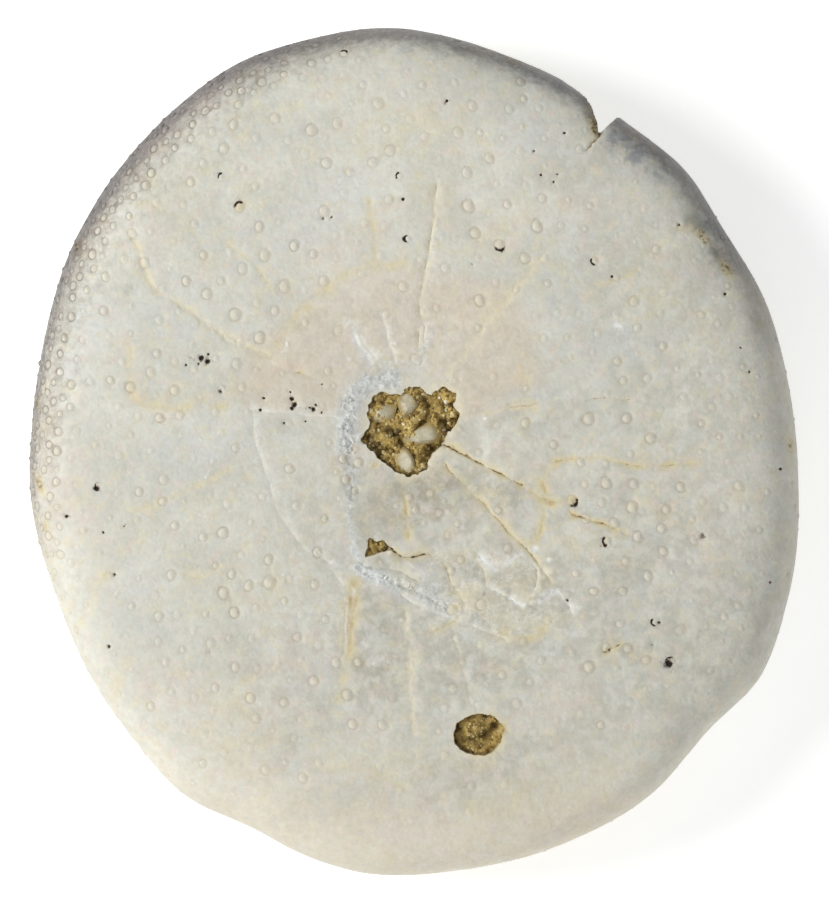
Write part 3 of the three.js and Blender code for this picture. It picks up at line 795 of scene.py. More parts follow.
def triangulated(fixed, edges, loose, kind=0):
    # kind 0 fills the whole hull, kind 1 only what the edges enclose
    points = np.vstack([fixed, loose])
    out = delaunay_2d_cdt([Vector(p) for p in points.tolist()], edges, [], kind, 1e-6)
    flat, faces, origins = np.array([tuple(v) for v in out[0]]), out[2], out[3]
    return flat, faces, [o[0] if o else -1 for o in origins]


fixed, edges, loose = upperSurface()
upperFlat, upperFaces, upperFrom = triangulated(fixed, edges, loose)
lowerFixed, lowerEdges, lowerLoose = lowerSurface()
lowerFlat, lowerFaces, lowerFrom = triangulated(lowerFixed, lowerEdges, lowerLoose)
print("triangles above and below:", len(upperFaces), len(lowerFaces))

upperPlace, upperWay, upperBroken = placeOf(upperFlat, True)
lowerPlace, lowerWay, lowerBroken = placeOf(lowerFlat, False)
inPocket = np.zeros(len(upperFlat))
for name, loop in holeLoops.items():
    inside = insideLoop(upperPlace[:, :2], loop)
    inset = distanceToPath(upperPlace[inside, :2], closedLoop(loop), 9)
    down = np.interp(inset, *zip(*wallSteps))
    inPocket[inside] = down > 0.02
    upperPlace[inside, 2] += (holes[name]["floor"] - upperPlace[inside, 2]) * down

# weld the two sides at the rim's widest ring
ringSize = len(ringAngles)
upperRing = {source: i for i, source in enumerate(upperFrom) if 0 <= source < ringSize}
weld, extra = {}, []
for i, source in enumerate(lowerFrom):
    if 0 <= source < ringSize:
        weld[i] = upperRing[source]
    else:
        weld[i] = len(upperFlat) + len(extra)
        extra.append(i)
faces = [tuple(f) for f in upperFaces] + [tuple(weld[i] for i in reversed(f)) for f in lowerFaces]
places = np.vstack([upperPlace, lowerPlace[extra]])
ways = np.vstack([upperWay, lowerWay[extra]])
broken = np.concatenate([upperBroken, lowerBroken[extra]])
pocket = np.concatenate([inPocket, np.zeros(len(extra))])
isUpper = np.concatenate([np.ones(len(upperFlat), bool), np.zeros(len(extra), bool)])


# what each point of the surface is: knob, groove, stain

def nearestKnob(flat, knobs):
    tree = treeOf(knobs[:, :2])
    share, which = np.full(len(flat), 2.0), np.zeros(len(flat), int)
    for i, (x, y) in enumerate(flat):
        for _, k, d in tree.find_n((x, y, 0), 2):
            if d / knobs[k][2] < share[i]:
                share[i], which[i] = d / knobs[k][2], k
    uneven = np.array([noise.noise(Vector((x * 1.7, y * 1.7, 2.0))) for x, y in flat])
    return np.minimum(share * (1 + 0.26 * uneven), knobReach), which


upperShare, upperWhich = nearestKnob(upperFlat, upperKnobs)
lowerShare, lowerWhich = nearestKnob(lowerFlat, lowerKnobs)

f = knobField
upperAlong, lowerAlong = [np.hypot(*knobs[:, :2].T) for knobs in (upperKnobs, lowerKnobs)]
relief = f["relief"][0] + f["relief"][1] * draw.beta(*f["reliefSpread"], len(upperKnobs))
relief[:len(boldKnobs)] = f["boldRelief"][0] + f["boldRelief"][1] * draw.random(len(boldKnobs))
crowded = np.cos(np.arctan2(upperKnobs[:, 1], upperKnobs[:, 0]) - math.radians(f["crowdedTowards"]))
relief += f["crowdedMore"] * ease(crowded, 0.62, 0.85) * ease(upperAlong, 22.6, 24.2)
knobPlan = placeOf(upperKnobs[:, :2], True)[0][:, :2]
relief *= 1 - f["rearLess"] * ease(-knobPlan[:, 1], 15, 23) * (np.arange(len(relief)) >= len(boldKnobs))
relief *= 1 + f["rimMore"] * ease(upperAlong, 25.0, 27.6)
lowerRelief = draw.uniform(*f["reliefBelow"], len(lowerKnobs)) * (1 + f["belowRimMore"] * ease(lowerAlong, 22, 26))

knobShare = np.concatenate([upperShare, lowerShare[extra]])
knobRelief = np.concatenate([relief[upperWhich] * upperKnobs[upperWhich, 2],
                             (lowerRelief[lowerWhich] * lowerKnobs[lowerWhich, 2])[extra]])
knobRelief[pocket > 0] = 0

plan = places[:, :2]


def aboveOnly(distance):
    # marks on the mouth side don't reach round to the other
    return np.where(isUpper, distance, farOff)


def noiseAt(flat, reach, seed):
    return np.array([noise.noise(Vector((x / reach, y / reach, seed))) for x, y in flat])


seamDepth = 1.4    # deepens every seam alike
groove, ochre, dark, white = (np.zeros(len(places)) for _ in range(4))
for number, (path, (_, width, depth, asOchre, asDark, asWhite)) in enumerate(zip(seamPaths, seams)):
    away = aboveOnly(distanceToPath(plan, path, width * 5 + 0.5))
    close = np.where(away < width * 5 + 0.4)[0]
    fade = np.clip(0.8 + noiseAt(plan[close], 0.9, number * 5.1) * 0.95, 0.32, 1)
    d = away[close]
    soak = 0.75 * bell(d, width * 1.25) + 0.35 * bell(d, width * 2.6 + 0.1)
    for mark, amount in ((groove, seamDepth * depth * bell(d, max(width, 0.08))), (ochre, asOchre * soak),
                         (dark, asDark * bell(d, width * 0.9)), (white, asWhite * bell(d, width * 1.4))):
        mark[close] = np.maximum(mark[close], amount * fade)

for x, y, size, black in pits:
    d = aboveOnly(np.hypot(plan[:, 0] - x, plan[:, 1] - y))
    groove = np.maximum(groove, 0.55 * size * np.exp(-(d / size) ** 4))
    dark = np.maximum(dark, black * np.maximum(1.1 * bell(d, size), 0.3 * bell(d, size * 3.2)))

for (x, y), (_, _, size, *sides) in zip(boldPlaces, boldKnobs):
    for side in sides:
        dx, dy = upperFlat[:, 0] - x, upperFlat[:, 1] - y
        facing = np.cos(np.arctan2(dy, dx) - math.radians(side))
        amount = bell(np.hypot(dx, dy) / size - 0.74, 0.24) * ease(facing, -0.1, 0.7) * 0.95
        dark[:len(upperFlat)] = np.maximum(dark[:len(upperFlat)], amount)

for x, y, size in chips:
    d = aboveOnly(np.hypot(plan[:, 0] - x, plan[:, 1] - y) / size)
    white = np.maximum(white, np.exp(-d**4))

for name, loop in holeLoops.items():
    away = aboveOnly(distanceToPath(plan, closedLoop(loop), 1.2))
    facing = ((plan - loop.mean(0)) @ np.array([0.8, -0.5]) > 0) * 0.5 + 0.5
    ochre = np.maximum(ochre, holes[name]["lipOchre"] * facing * bell(away, 0.3))
    white = np.maximum(white, holes[name]["lipWhite"] * facing * bell(away, 0.14))

crush = np.zeros(len(places))
for path, half, strength in crushed:
    d = aboveOnly(distanceToPath(plan, evenPath(path, 0.4), half * 3))
    crush = np.maximum(crush, strength * bell(d, half))
crush *= 0.35 + 0.65 * ease(knobShare, 0.8, 1.1)    # knobs still stand in the crushed bands

for *oval, asOchre, asDark in stains:
    soak = bell(aboveOnly(ovalDistance(plan, *oval)), 1)
    ochre = np.maximum(ochre, asOchre * soak)
    dark = np.maximum(dark, asDark * 0.8 * soak)

washed = {}
for tint, spots in washes.items():
    total = np.zeros(len(places))
    for *oval, strength in spots:
        total = np.maximum(total, strength * np.exp(-ovalDistance(plan, *oval)**4))
    washed[tint] = total * isUpper

plateX, plateY = (plan - plates["middle"]).T
leaning = np.stack([plateX, plateY + plates["lean"] * plateX], 1) / plates["half"]
crazed = 1 - ease(np.hypot(*leaning.T), 0.8, 1.1)
crazed *= isUpper

fleshEdge = np.array(fleshArea)
inFlesh = insideLoop(plan, fleshEdge) & isUpper
fleshAway = distanceToPath(plan, closedLoop(fleshEdge), 3.0)
flesh = (0.5 + np.where(inFlesh, 0.5, -0.5) * ease(fleshAway, 0, 0.9)) * isUpper

toMouth = np.hypot(*((plan - slab["middle"]) / slab["half"]).T)
sunk = slab["depth"] * (1 - ease(toMouth, 0.82, 1.06)) * isUpper
sunk = sunk + slab["uneven"] * noiseAt(plan, 3.2, 4.0) * (toMouth < 1.2) * isUpper

pores = np.zeros(len(places))
poreReach = np.array([poreTree.find((x, y, 0))[2] / petals["pore"] for x, y in lowerFlat])
slitReach = np.full(len(lowerFlat), 9.0)
for a, b in slitEnds:
    slitReach = np.minimum(slitReach, distanceToPath(lowerFlat, np.array([a, b]), 0.4))
sunkPores = np.maximum(bell(poreReach, 0.95), 0.5 * bell(slitReach, 0.085))
pores[len(upperFlat):] = sunkPores[extra]
petal = np.zeros(len(lowerFlat))
for angle in petals["angles"]:
    way = math.radians(angle)
    u = lowerFlat @ np.array([math.cos(way), math.sin(way)])
    v = np.abs(lowerFlat @ np.array([-math.sin(way), math.cos(way)]))
    half = petalHalf((u - petals["start"]) / (petals["end"] - petals["start"]))
    inside = ease(half - v, -0.2, 0.9) * ease(u, petals["start"] - 0.5, petals["start"] + 1)
    petal = np.maximum(petal, inside * (1 - ease(u, petals["end"] - 0.5, petals["end"] + 1.5)))
sunk[len(upperFlat):] += (0.07 * bell(slitReach, 0.45) - 0.12 * petal)[extra]
petalTint = np.concatenate([np.zeros(len(upperFlat)), (0.6 * petal + 0.6 * bell(slitReach, 0.5))[extra]])
print("surface marked")


def makeMesh(name, points, faces, smooth=True):
    mesh = bpy.data.meshes.new(name)
    mesh.from_pydata([tuple(p) for p in (np.asarray(points) * mm).tolist()], [], faces)
    mesh.validate()
    mesh.polygons.foreach_set("use_smooth", [smooth] * len(mesh.polygons))
    return mesh


def addMarks(mesh, marks):
    for name, values in marks.items():
        kind = "FLOAT" if np.ndim(values) == 1 else "FLOAT_VECTOR"
        data = mesh.attributes.new(name, kind, "POINT").data
        data.foreach_set("value" if kind == "FLOAT" else "vector", np.asarray(values, np.float32).ravel())


def linked(name, mesh):
    piece = bpy.data.objects.new(name, mesh)
    scene.collection.objects.link(piece)
    return piece


testMesh = makeMesh("worn_test", places, faces)
addMarks(testMesh, {
    "outward": ways, "knobShare": knobShare, "knobRelief": knobRelief, "groove": groove, "sunk": sunk,
    "ochre": ochre, "dark": dark, "white": white, "crush": crush, "flesh": flesh,
    "broken": np.maximum(broken, pocket), "pores": pores,
    "crazed": crazed, "petal": petalTint, **washed,
})


# materials

def paint(code):
    parts = [int(code[i:i + 2], 16) / 255 for i in (0, 2, 4)]
    return tuple(c / 12.92 if c <= 0.04045 else ((c + 0.055) / 1.055) ** 2.4 for c in parts) + (1.0,)


class Board:
    # puts nodes on a tree and joins them, for materials and for geometry
    def __init__(self, tree):
        self.tree = tree
        self.count = 0

    def add(self, kind, inputs=None, **settings):
        node = self.tree.nodes.new(kind)
        node.location = (220 * (self.count % 9), -260 * (self.count // 9))
        self.count += 1
        for key, value in settings.items():
            setattr(node, key, value)
        for key, value in (inputs or {}).items():
            self.feed(node.inputs[key], value)
        return node

    def feed(self, socket, value):
        if isinstance(value, bpy.types.NodeSocket):
            self.tree.links.new(value, socket)
        elif isinstance(value, bpy.types.Node):
            self.tree.links.new(value.outputs[0], socket)
        else:
            socket.default_value = value

    def math(self, operation, a, b=0.0, clamp=False):
        return self.add("ShaderNodeMath", {0: a, 1: b}, operation=operation, use_clamp=clamp).outputs[0]

    def product(self, first, *others):
        for other in others:
            first = self.math("MULTIPLY", first, other)
        return first

    def sum(self, first, *others):
        for other in others:
            first = self.math("ADD", first, other)
        return first

    def swing(self, value, size):
        # a noise from 0 to 1 as a push either way
        return self.product(self.math("SUBTRACT", value, 0.5), size)

    def vector(self, operation, *values):
        return self.add("ShaderNodeVectorMath", dict(enumerate(values)), operation=operation).outputs[0]

    def scaled(self, vector, size):
        return self.add("ShaderNodeVectorMath", {0: vector, "Scale": size}, operation="SCALE").outputs[0]

    def millimetres(self):
        # where a point is
        if self.tree.type == "GEOMETRY":
            where = self.add("GeometryNodeInputPosition").outputs[0]
        else:
            where = self.add("ShaderNodeTexCoord").outputs["Object"]
        return self.vector("MULTIPLY", where, (1000, 1000, 1000))

    def mix(self, amount, a, b, blend="MIX"):
        node = self.add("ShaderNodeMix", data_type="RGBA", blend_type=blend)
        self.feed(node.inputs[0], amount)
        self.feed(node.inputs[6], a)
        self.feed(node.inputs[7], b)
        return node.outputs[2]

    def tint(self, colour, tone, *masks):
        return self.mix(self.product(*masks), colour, tone)

    def shaded(self, colour, shade):
        grey = self.add("ShaderNodeCombineColor", {0: shade, 1: shade, 2: shade})
        return self.mix(1.0, colour, grey, "MULTIPLY")

    def ramp(self, value, low, high, fromOut=0.0, toOut=1.0):
        return self.add("ShaderNodeMapRange", {"Value": value, "From Min": low, "From Max": high, "To Min": fromOut,
                                               "To Max": toOut}, interpolation_type="SMOOTHSTEP").outputs[0]

    def noise(self, where, scale, detail=3.0, rough=0.55, distort=0.0, output="Fac"):
        return self.add("ShaderNodeTexNoise", {"Vector": where, "Scale": scale, "Detail": detail, "Roughness": rough,
                                               "Distortion": distort}).outputs[output]

    def cell(self, where, scale, output="Color"):
        return self.add("ShaderNodeTexVoronoi", {"Vector": where, "Scale": scale}).outputs[output]

    def cellEdge(self, where, scale):
        return self.add("ShaderNodeTexVoronoi", {"Vector": where, "Scale": scale},
                        feature="DISTANCE_TO_EDGE").outputs["Distance"]

    def parts(self, vector):
        return self.add("ShaderNodeSeparateXYZ", {0: vector}).outputs

    def random(self, low, high, seed=0):
        isVector = isinstance(low, tuple)
        node = self.add("FunctionNodeRandomValue", data_type="FLOAT_VECTOR" if isVector else "FLOAT")
        inputs = node.inputs[0:2] if isVector else node.inputs[2:4]
        for socket, value in zip((*inputs, node.inputs["Seed"]), (low, high, seed)):
            self.feed(socket, value)
        return node.outputs[0 if isVector else 1]

    def mark(self, name, kind="FLOAT"):
        if self.tree.type == "GEOMETRY":
            return self.add("GeometryNodeInputNamedAttribute", {"Name": name}, data_type=kind).outputs["Attribute"]
        return self.add("ShaderNodeAttribute", attribute_name=name).outputs["Fac"]


def newGroup(name, kind, inputs, outputs):
    tree = bpy.data.node_groups.new(name, kind)
    for label, socketType, value in inputs:
        socket = tree.interface.new_socket(name=label, in_out="INPUT", socket_type=socketType)
        if value is not None:
            socket.default_value = value
    for label, socketType in outputs:
        tree.interface.new_socket(name=label, in_out="OUTPUT", socket_type=socketType)
    return tree, tree.nodes.new("NodeGroupInput"), tree.nodes.new("NodeGroupOutput")


def finePorosity():
    # grain of worn calcite and sand: a height for bumps and a slight lightness change
    tree, given, out = newGroup("finePorosity", "ShaderNodeTree",
                                [("Grain size (mm)", "NodeSocketFloat", 0.2), ("Contrast", "NodeSocketFloat", 0.1)],
                                [("Height", "NodeSocketFloat"), ("Shade", "NodeSocketFloat")])
    b = Board(tree)
    where = b.millimetres()
    scale = b.math("DIVIDE", 1.0, given.outputs["Grain size (mm)"])
    grain = b.noise(where, scale, 4.0, 0.62)
    b.feed(out.inputs["Height"], b.sum(grain, b.product(b.cell(where, scale, "Distance"), 0.35)))
    b.feed(out.inputs["Shade"], b.sum(1.0, b.product(b.swing(grain, given.outputs["Contrast"]), 2.0)))
    return tree


def cloudyMottle():
    # slow cloudy change, as two masks of different size
    tree, given, out = newGroup("cloudyMottle", "ShaderNodeTree",
                                [("Cloud size (mm)", "NodeSocketFloat", 6.0)],
                                [("Clouds", "NodeSocketFloat"), ("Flecks", "NodeSocketFloat")])
    b = Board(tree)
    where = b.millimetres()
    scale = b.math("DIVIDE", 1.0, given.outputs["Cloud size (mm)"])
    b.feed(out.inputs["Clouds"], b.ramp(b.noise(where, scale, 4.0, 0.6, 0.6), 0.3, 0.7))
    b.feed(out.inputs["Flecks"], b.ramp(b.noise(where, b.product(scale, 5.0), 3.0, 0.6, 0.3), 0.35, 0.68))
    return tree


def flakeCells(b, where):
    # the crushed bands' flakes, the same in colour and in relief: each one's own value, distance to its edge
    nudge = b.vector("ADD", where, b.noise(where, 1.4, 2.0, 0.5, output="Color"))
    return b.cell(nudge, 2.3), b.cellEdge(nudge, 2.3)


porosity, mottle = finePorosity(), cloudyMottle()


def newMaterial(name, roughness, specular):
    material = bpy.data.materials.new(name)
    material.use_nodes = True
    bsdf = material.node_tree.nodes["Principled BSDF"]
    bsdf.inputs["Roughness"].default_value = roughness
    bsdf.inputs["Specular IOR Level"].default_value = specular
    return material, Board(material.node_tree), bsdf


def useGroup(b, tree, *values):
    node = b.add("ShaderNodeGroup", dict(enumerate(values)), node_tree=tree)
    return node.outputs[0], node.outputs[1]


def coat(b, bsdf, colour, shade, height, strength, depth):
    b.feed(bsdf.inputs["Base Color"], b.shaded(colour, shade))
    bump = b.add("ShaderNodeBump", {"Strength": strength, "Distance": depth * mm, "Height": height})
    b.feed(bsdf.inputs["Normal"], bump)


def paints(look):
    return {key: paint(code) for key, code in look.items()}


# the shell's colours; some serve as painted light and shade: the two darkest greys and slate for the rim, the boss
# colour as a highlight on knobs, olive and dull in part
shellLook = {
    "grey": "cdcdc2", "pale": "dddcd1", "warm": "dacfb8", "flesh": "d9c8b0", "ringShade": "b5a68c",
    "bossHighlight": "ddd4bd", "cool": "d3dadd", "straw": "e0d7b4", "rose": "dfcfc4", "ash": "b4b1a3", "oliveAndShade": "5f5a44",
    "dullAndShade": "b3b1a4", "vein": "dccd9e", "ochre": "b0975e", "white": "eef0ee", "chalk": "d6dbdc", "shard": "c3cacd",
    "frost": "dae1e8", "crevice": "a38d5e", "paintedShade": "605d5f", "paintedShadeWarm": "7d6f63", "slateShade": "747a84",
    "mauve": "857b80", "brown": "5f4722", "black": "191310", "brokenFace": "a08a5c",
}
washStrength = {"dullAndShade": 0.62, "cool": 0.4, "straw": 0.5, "rose": 0.55, "ash": 0.88, "slateShade": 0.7, "frost": 0.8}
smallPatches = [("straw", 0.9, 0.38), ("cool", 0.7, 0.18), ("rose", 1.1, 0.4)]    # tint, scale, strength


def shellMaterial():
    material, b, bsdf = newMaterial("worn_calcite_shell", 0.55, 0.35)
    c = paints(shellLook)
    where = b.millimetres()
    x, y, z = b.parts(where)
    clouds, flecks = useGroup(b, mottle, 5.5)
    height, shade = useGroup(b, porosity, 0.3, 0.1)
    ragged = b.noise(where, 1.6, 4.0, 0.65)
    speckle = b.noise(where, 3.0, 4.0, 0.75)

    colour = b.mix(clouds, c["grey"], c["pale"])
    warmPatch = b.ramp(b.noise(where, 0.11, 3.0, 0.6), 0.5, 0.72)
    colour = b.tint(colour, c["warm"], warmPatch, 0.2)
    # the rear edge is creamier
    rear = b.ramp(b.sum(y, b.product(x, 0.25)), -17, -26)
    colour = b.tint(colour, c["warm"], rear, 0.45)
    # washes with cloudy edges, one of them partly painted shade towards the rear and the right, then small patches of
    # the same tints
    edge = b.ramp(flecks, 0.0, 0.8, 0.3, 1.0)
    for tint, strength in washStrength.items():
        colour = b.tint(colour, c[tint], b.mark(tint), edge, strength)
    # olive tone, partly painted shade at the notch's lip and the right rim's edge
    colour = b.tint(colour, c["oliveAndShade"], b.mark("oliveAndShade"), 0.8)
    colour = b.tint(colour, c["warm"], b.mark("petal"), 0.5)
    for number, (tint, scale, strength) in enumerate(smallPatches):
        shifted = b.vector("ADD", where, (31.0 * number, 17.0, 5.0))
        patch = b.ramp(b.noise(shifted, scale, 3.0, 0.72), 0.5, 0.66)
        colour = b.tint(colour, c[tint], patch, strength)
    colour = b.tint(colour, c["ringShade"], flecks, 0.08)
    colour = b.tint(colour, c["flesh"], b.mark("flesh"), b.ramp(clouds, 0, 1, 0.5, 0.3))

    # straw and ochre soaked in along seams, with a ragged edge
    soaked = b.product(b.mark("ochre"), b.ramp(ragged, 0.32, 0.6, 0.6, 1.05))
    colour = b.mix(b.ramp(soaked, 0.02, 0.6, 0.0, 0.62), colour, c["vein"])
    colour = b.mix(b.ramp(soaked, 0.45, 0.95, 0.0, 0.6), colour, c["ochre"])
    threads = b.ramp(b.noise(where, 0.35, 5.0, 0.7, 2.5), 0.57, 0.66)
    colour = b.tint(colour, c["vein"], threads, 0.2)

    # chalky crushed bands: bright ridges round duller cells, with a few open crevices
    crush, crazed = b.mark("crush"), b.mark("crazed")
    flake, flakeEdge = flakeCells(b, where)
    shard = b.mix(b.ramp(flake, 0.3, 0.7), c["chalk"], c["shard"])
    shard = b.mix(b.ramp(b.cell(where, 5.0, "Distance"), 0.1, 0.2, 0.0, 0.3), shard, c["ash"])
    shard = b.mix(b.ramp(flakeEdge, 0.2, 0.04, 0.0, 0.6), shard, c["white"])
    shard = b.tint(shard, c["crevice"], b.ramp(speckle, 0.58, 0.68), 0.5)
    torn = b.ramp(b.sum(crush, b.product(crazed, 0.1), b.swing(ragged, 1.3)), 0.15, 0.75)
    colour = b.tint(colour, shard, torn, 0.8)
    # crazing behind the mouth: plates of slightly different tone between fine lines
    bent = b.vector("MULTIPLY_ADD", b.noise(where, 0.9, 3.0, 0.7, output="Color"), (2.4, 2.4, 2.4), where)
    joints = b.cellEdge(bent, 0.62)
    tone = b.mix(b.ramp(b.cell(bent, 0.62), 0.35, 0.65), c["ash"], c["straw"])
    patchy = b.product(crazed, b.ramp(ragged, 0.4, 0.6))
    colour = b.tint(colour, tone, crazed, 0.3)
    colour = b.tint(colour, c["white"], b.ramp(joints, 0.14, 0.03, 0.0, 0.36), patchy)
    colour = b.tint(colour, c["crevice"], b.ramp(joints, 0.035, 0.0, 0.0, 0.45), patchy)
    colour = b.tint(colour, c["white"], b.mark("white"), b.ramp(ragged, 0.3, 0.6, 0.5, 1.0))

    # knobs: painted shade in the sunken ring round each knob and a painted highlight on its top
    share, relief = b.mark("knobShare"), b.mark("knobRelief")
    ring = b.product(b.ramp(share, 0.56, 0.76), b.ramp(share, 1.02, 0.82), b.ramp(ragged, 0.38, 0.58, 0.45, 1.1))
    strength = b.ramp(relief, 0.05, 0.4, 0.1, 1.0)
    bold = b.ramp(relief, 0.15, 0.35, 0.4, 0.55)
    top = b.product(b.ramp(share, 0.6, 0.35), strength)
    # painted shade in each knob's sunken ring
    colour = b.tint(colour, c["ringShade"], ring, strength, bold)
    # painted highlight on each knob's top
    colour = b.tint(colour, c["bossHighlight"], top, bold)

    # painted shade just inside the front and right of the rim, partly a grey stain, and painted shade with grime
    # between the crowded knobs on the front left
    below = b.ramp(b.sum(z, b.swing(ragged, 5.0)), 2.4, 6.4)
    right = b.ramp(b.sum(b.product(x, 0.25), b.product(y, 0.95)), 2, 15)
    left = b.ramp(b.math("SUBTRACT", b.product(y, 0.72), b.product(x, 0.7)), 14, 22)
    shadeEdgeHeight = b.sum(z, b.swing(ragged, 1.2))
    paintedShadeTone = b.mix(warmPatch, c["paintedShade"], c["paintedShadeWarm"])
    grimeAndShadeTone = b.mix(warmPatch, c["paintedShadeWarm"], c["mauve"])
    # painted shade over the front and right of the rim, partly a grey stain, made blotchy by noise
    paintedRimShade = b.product(b.ramp(shadeEdgeHeight, 8.65, 7.3), right, below)
    colour = b.tint(colour, paintedShadeTone, paintedRimShade, b.ramp(speckle, 0.35, 0.6, 0.66, 0.82))
    # knob tops inside that painted shade stay paler, as a painted highlight
    colour = b.tint(colour, c["ash"], paintedRimShade, top, 0.4)
    # the front left of the rim: painted shade with some grime, in the knobs' rings and between the crowded knobs
    leftRimShadeAndGrime = b.product(b.ramp(shadeEdgeHeight, 9.0, 8.3), left, below)
    colour = b.tint(colour, grimeAndShadeTone, leftRimShadeAndGrime, b.ramp(speckle, 0.4, 0.6, 0.08, 0.32))
    between = b.product(b.ramp(share, 0.66, 0.84), b.ramp(share, 1.2, 0.95, 0.45, 1.0),
                        b.ramp(speckle, 0.36, 0.56, 0.45, 1.0))
    colour = b.tint(colour, grimeAndShadeTone, leftRimShadeAndGrime, between, 0.42)
    colour = b.tint(colour, c["paintedShade"], leftRimShadeAndGrime, ring, 0.42)
    # a faint brownish tint over the rest of the rim's curve
    plainRim = b.product(b.ramp(shadeEdgeHeight, 8.7, 7.2), b.math("SUBTRACT", 1.0, right, True))
    colour = b.tint(colour, c["brokenFace"], plainRim, below, 0.08)
    # painted shade, darkest at the very edge of the front left rim
    paintedEdgeShade = b.product(b.ramp(shadeEdgeHeight, 8.15, 6.6), left, below)
    colour = b.tint(colour, c["paintedShade"], paintedEdgeShade, b.ramp(speckle, 0.35, 0.6, 0.42, 0.78))

    # broken faces, pores and dirt
    colour = b.tint(colour, c["brokenFace"], b.mark("broken"), b.ramp(ragged, 0.3, 0.7, 0.45, 0.95))
    colour = b.tint(colour, c["brown"], b.mark("pores"), 0.7)
    dirt = b.sum(b.mark("dark"), b.swing(b.noise(where, 4.5, 3.0, 0.6), 1.1))
    colour = b.mix(b.ramp(dirt, 0.25, 0.6, 0.0, 0.75), colour, c["brown"])
    colour = b.mix(b.ramp(dirt, 0.5, 0.72), colour, c["black"])
    uneven = b.sum(b.ramp(ragged, 0.3, 0.7, 0.965, 1.035), b.ramp(speckle, 0.3, 0.7, -0.03, 0.03))
    coat(b, bsdf, colour, b.product(uneven, shade), height, 0.5, 0.06)

    rough = b.sum(b.product(crush, 0.2), b.ramp(height, 0.4, 0.9, 0.5, 0.66))
    b.feed(bsdf.inputs["Roughness"], b.math("ADD", rough, b.product(b.mark("dark"), 0.2), True))
    return material


sandLook = {"dark": "7c6436", "mid": "c9ae69", "light": "eddca6", "pale": "f4eed8", "shadow": "3f2f15"}


def sandMaterial():
    material, b, bsdf = newMaterial("packed_sand", 0.9, 0.2)
    c = paints(sandLook)
    height, shade = useGroup(b, porosity, 0.13, 0.55)
    clouds, _ = useGroup(b, mottle, 1.6)
    tone = b.mark("tone")
    colour = b.mix(b.ramp(tone, 0.0, 0.6), c["dark"], c["mid"])
    colour = b.mix(b.ramp(tone, 0.55, 0.95), colour, c["light"])
    colour = b.mix(b.ramp(tone, 0.95, 1.0), colour, c["pale"])
    colour = b.tint(colour, c["dark"], clouds, 0.3)
    # painted shade at the plug's edge, hollow and dips, and patches of darker sand
    colour = b.tint(colour, c["shadow"], b.mark("darkSandAndShade"), 0.8)
    coat(b, bsdf, colour, shade, height, 0.8, 0.07)
    return material


grainLook = {"pale": "cfcab6", "grey": "b0a88c", "stain": "9c8548"}


def grainMaterial():
    material, b, bsdf = newMaterial("pale_grain", 0.5, 0.4)
    c = paints(grainLook)
    height, shade = useGroup(b, porosity, 0.14, 0.12)
    clouds, flecks = useGroup(b, mottle, 0.9)
    colour = b.mix(clouds, c["pale"], c["grey"])
    colour = b.tint(colour, c["stain"], flecks, 0.25)
    colour = b.mix(b.mark("buried"), colour, c["stain"])
    coat(b, bsdf, colour, shade, height, 0.4, 0.03)
    return material


shellPaint, sandPaint, grainPaint = shellMaterial(), sandMaterial(), grainMaterial()


# geometry nodes

def shapedBy(piece, tree, settings, name):
    # runs a tree on a piece and keeps the result as a plain mesh
    modifier = piece.modifiers.new(tree.name, "NODES")
    modifier.node_group = tree
    for item in tree.interface.items_tree:
        if item.item_type == "SOCKET" and item.in_out == "INPUT" and item.name in settings:
            modifier[item.identifier] = settings[item.name]
    bpy.context.view_layer.update()
    graph = bpy.context.evaluated_depsgraph_get()
    mesh = bpy.data.meshes.new_from_object(piece.evaluated_get(graph), preserve_all_data_layers=True, depsgraph=graph)
    bpy.data.objects.remove(piece)
    mesh.name = name
    return linked(name, mesh)


def finishTree(b, out, geometry, material):
    whole = b.add("GeometryNodeRealizeInstances", {"Geometry": geometry})
    b.feed(out.inputs["Geometry"], b.add("GeometryNodeSetMaterial", {"Geometry": whole, "Material": material}))


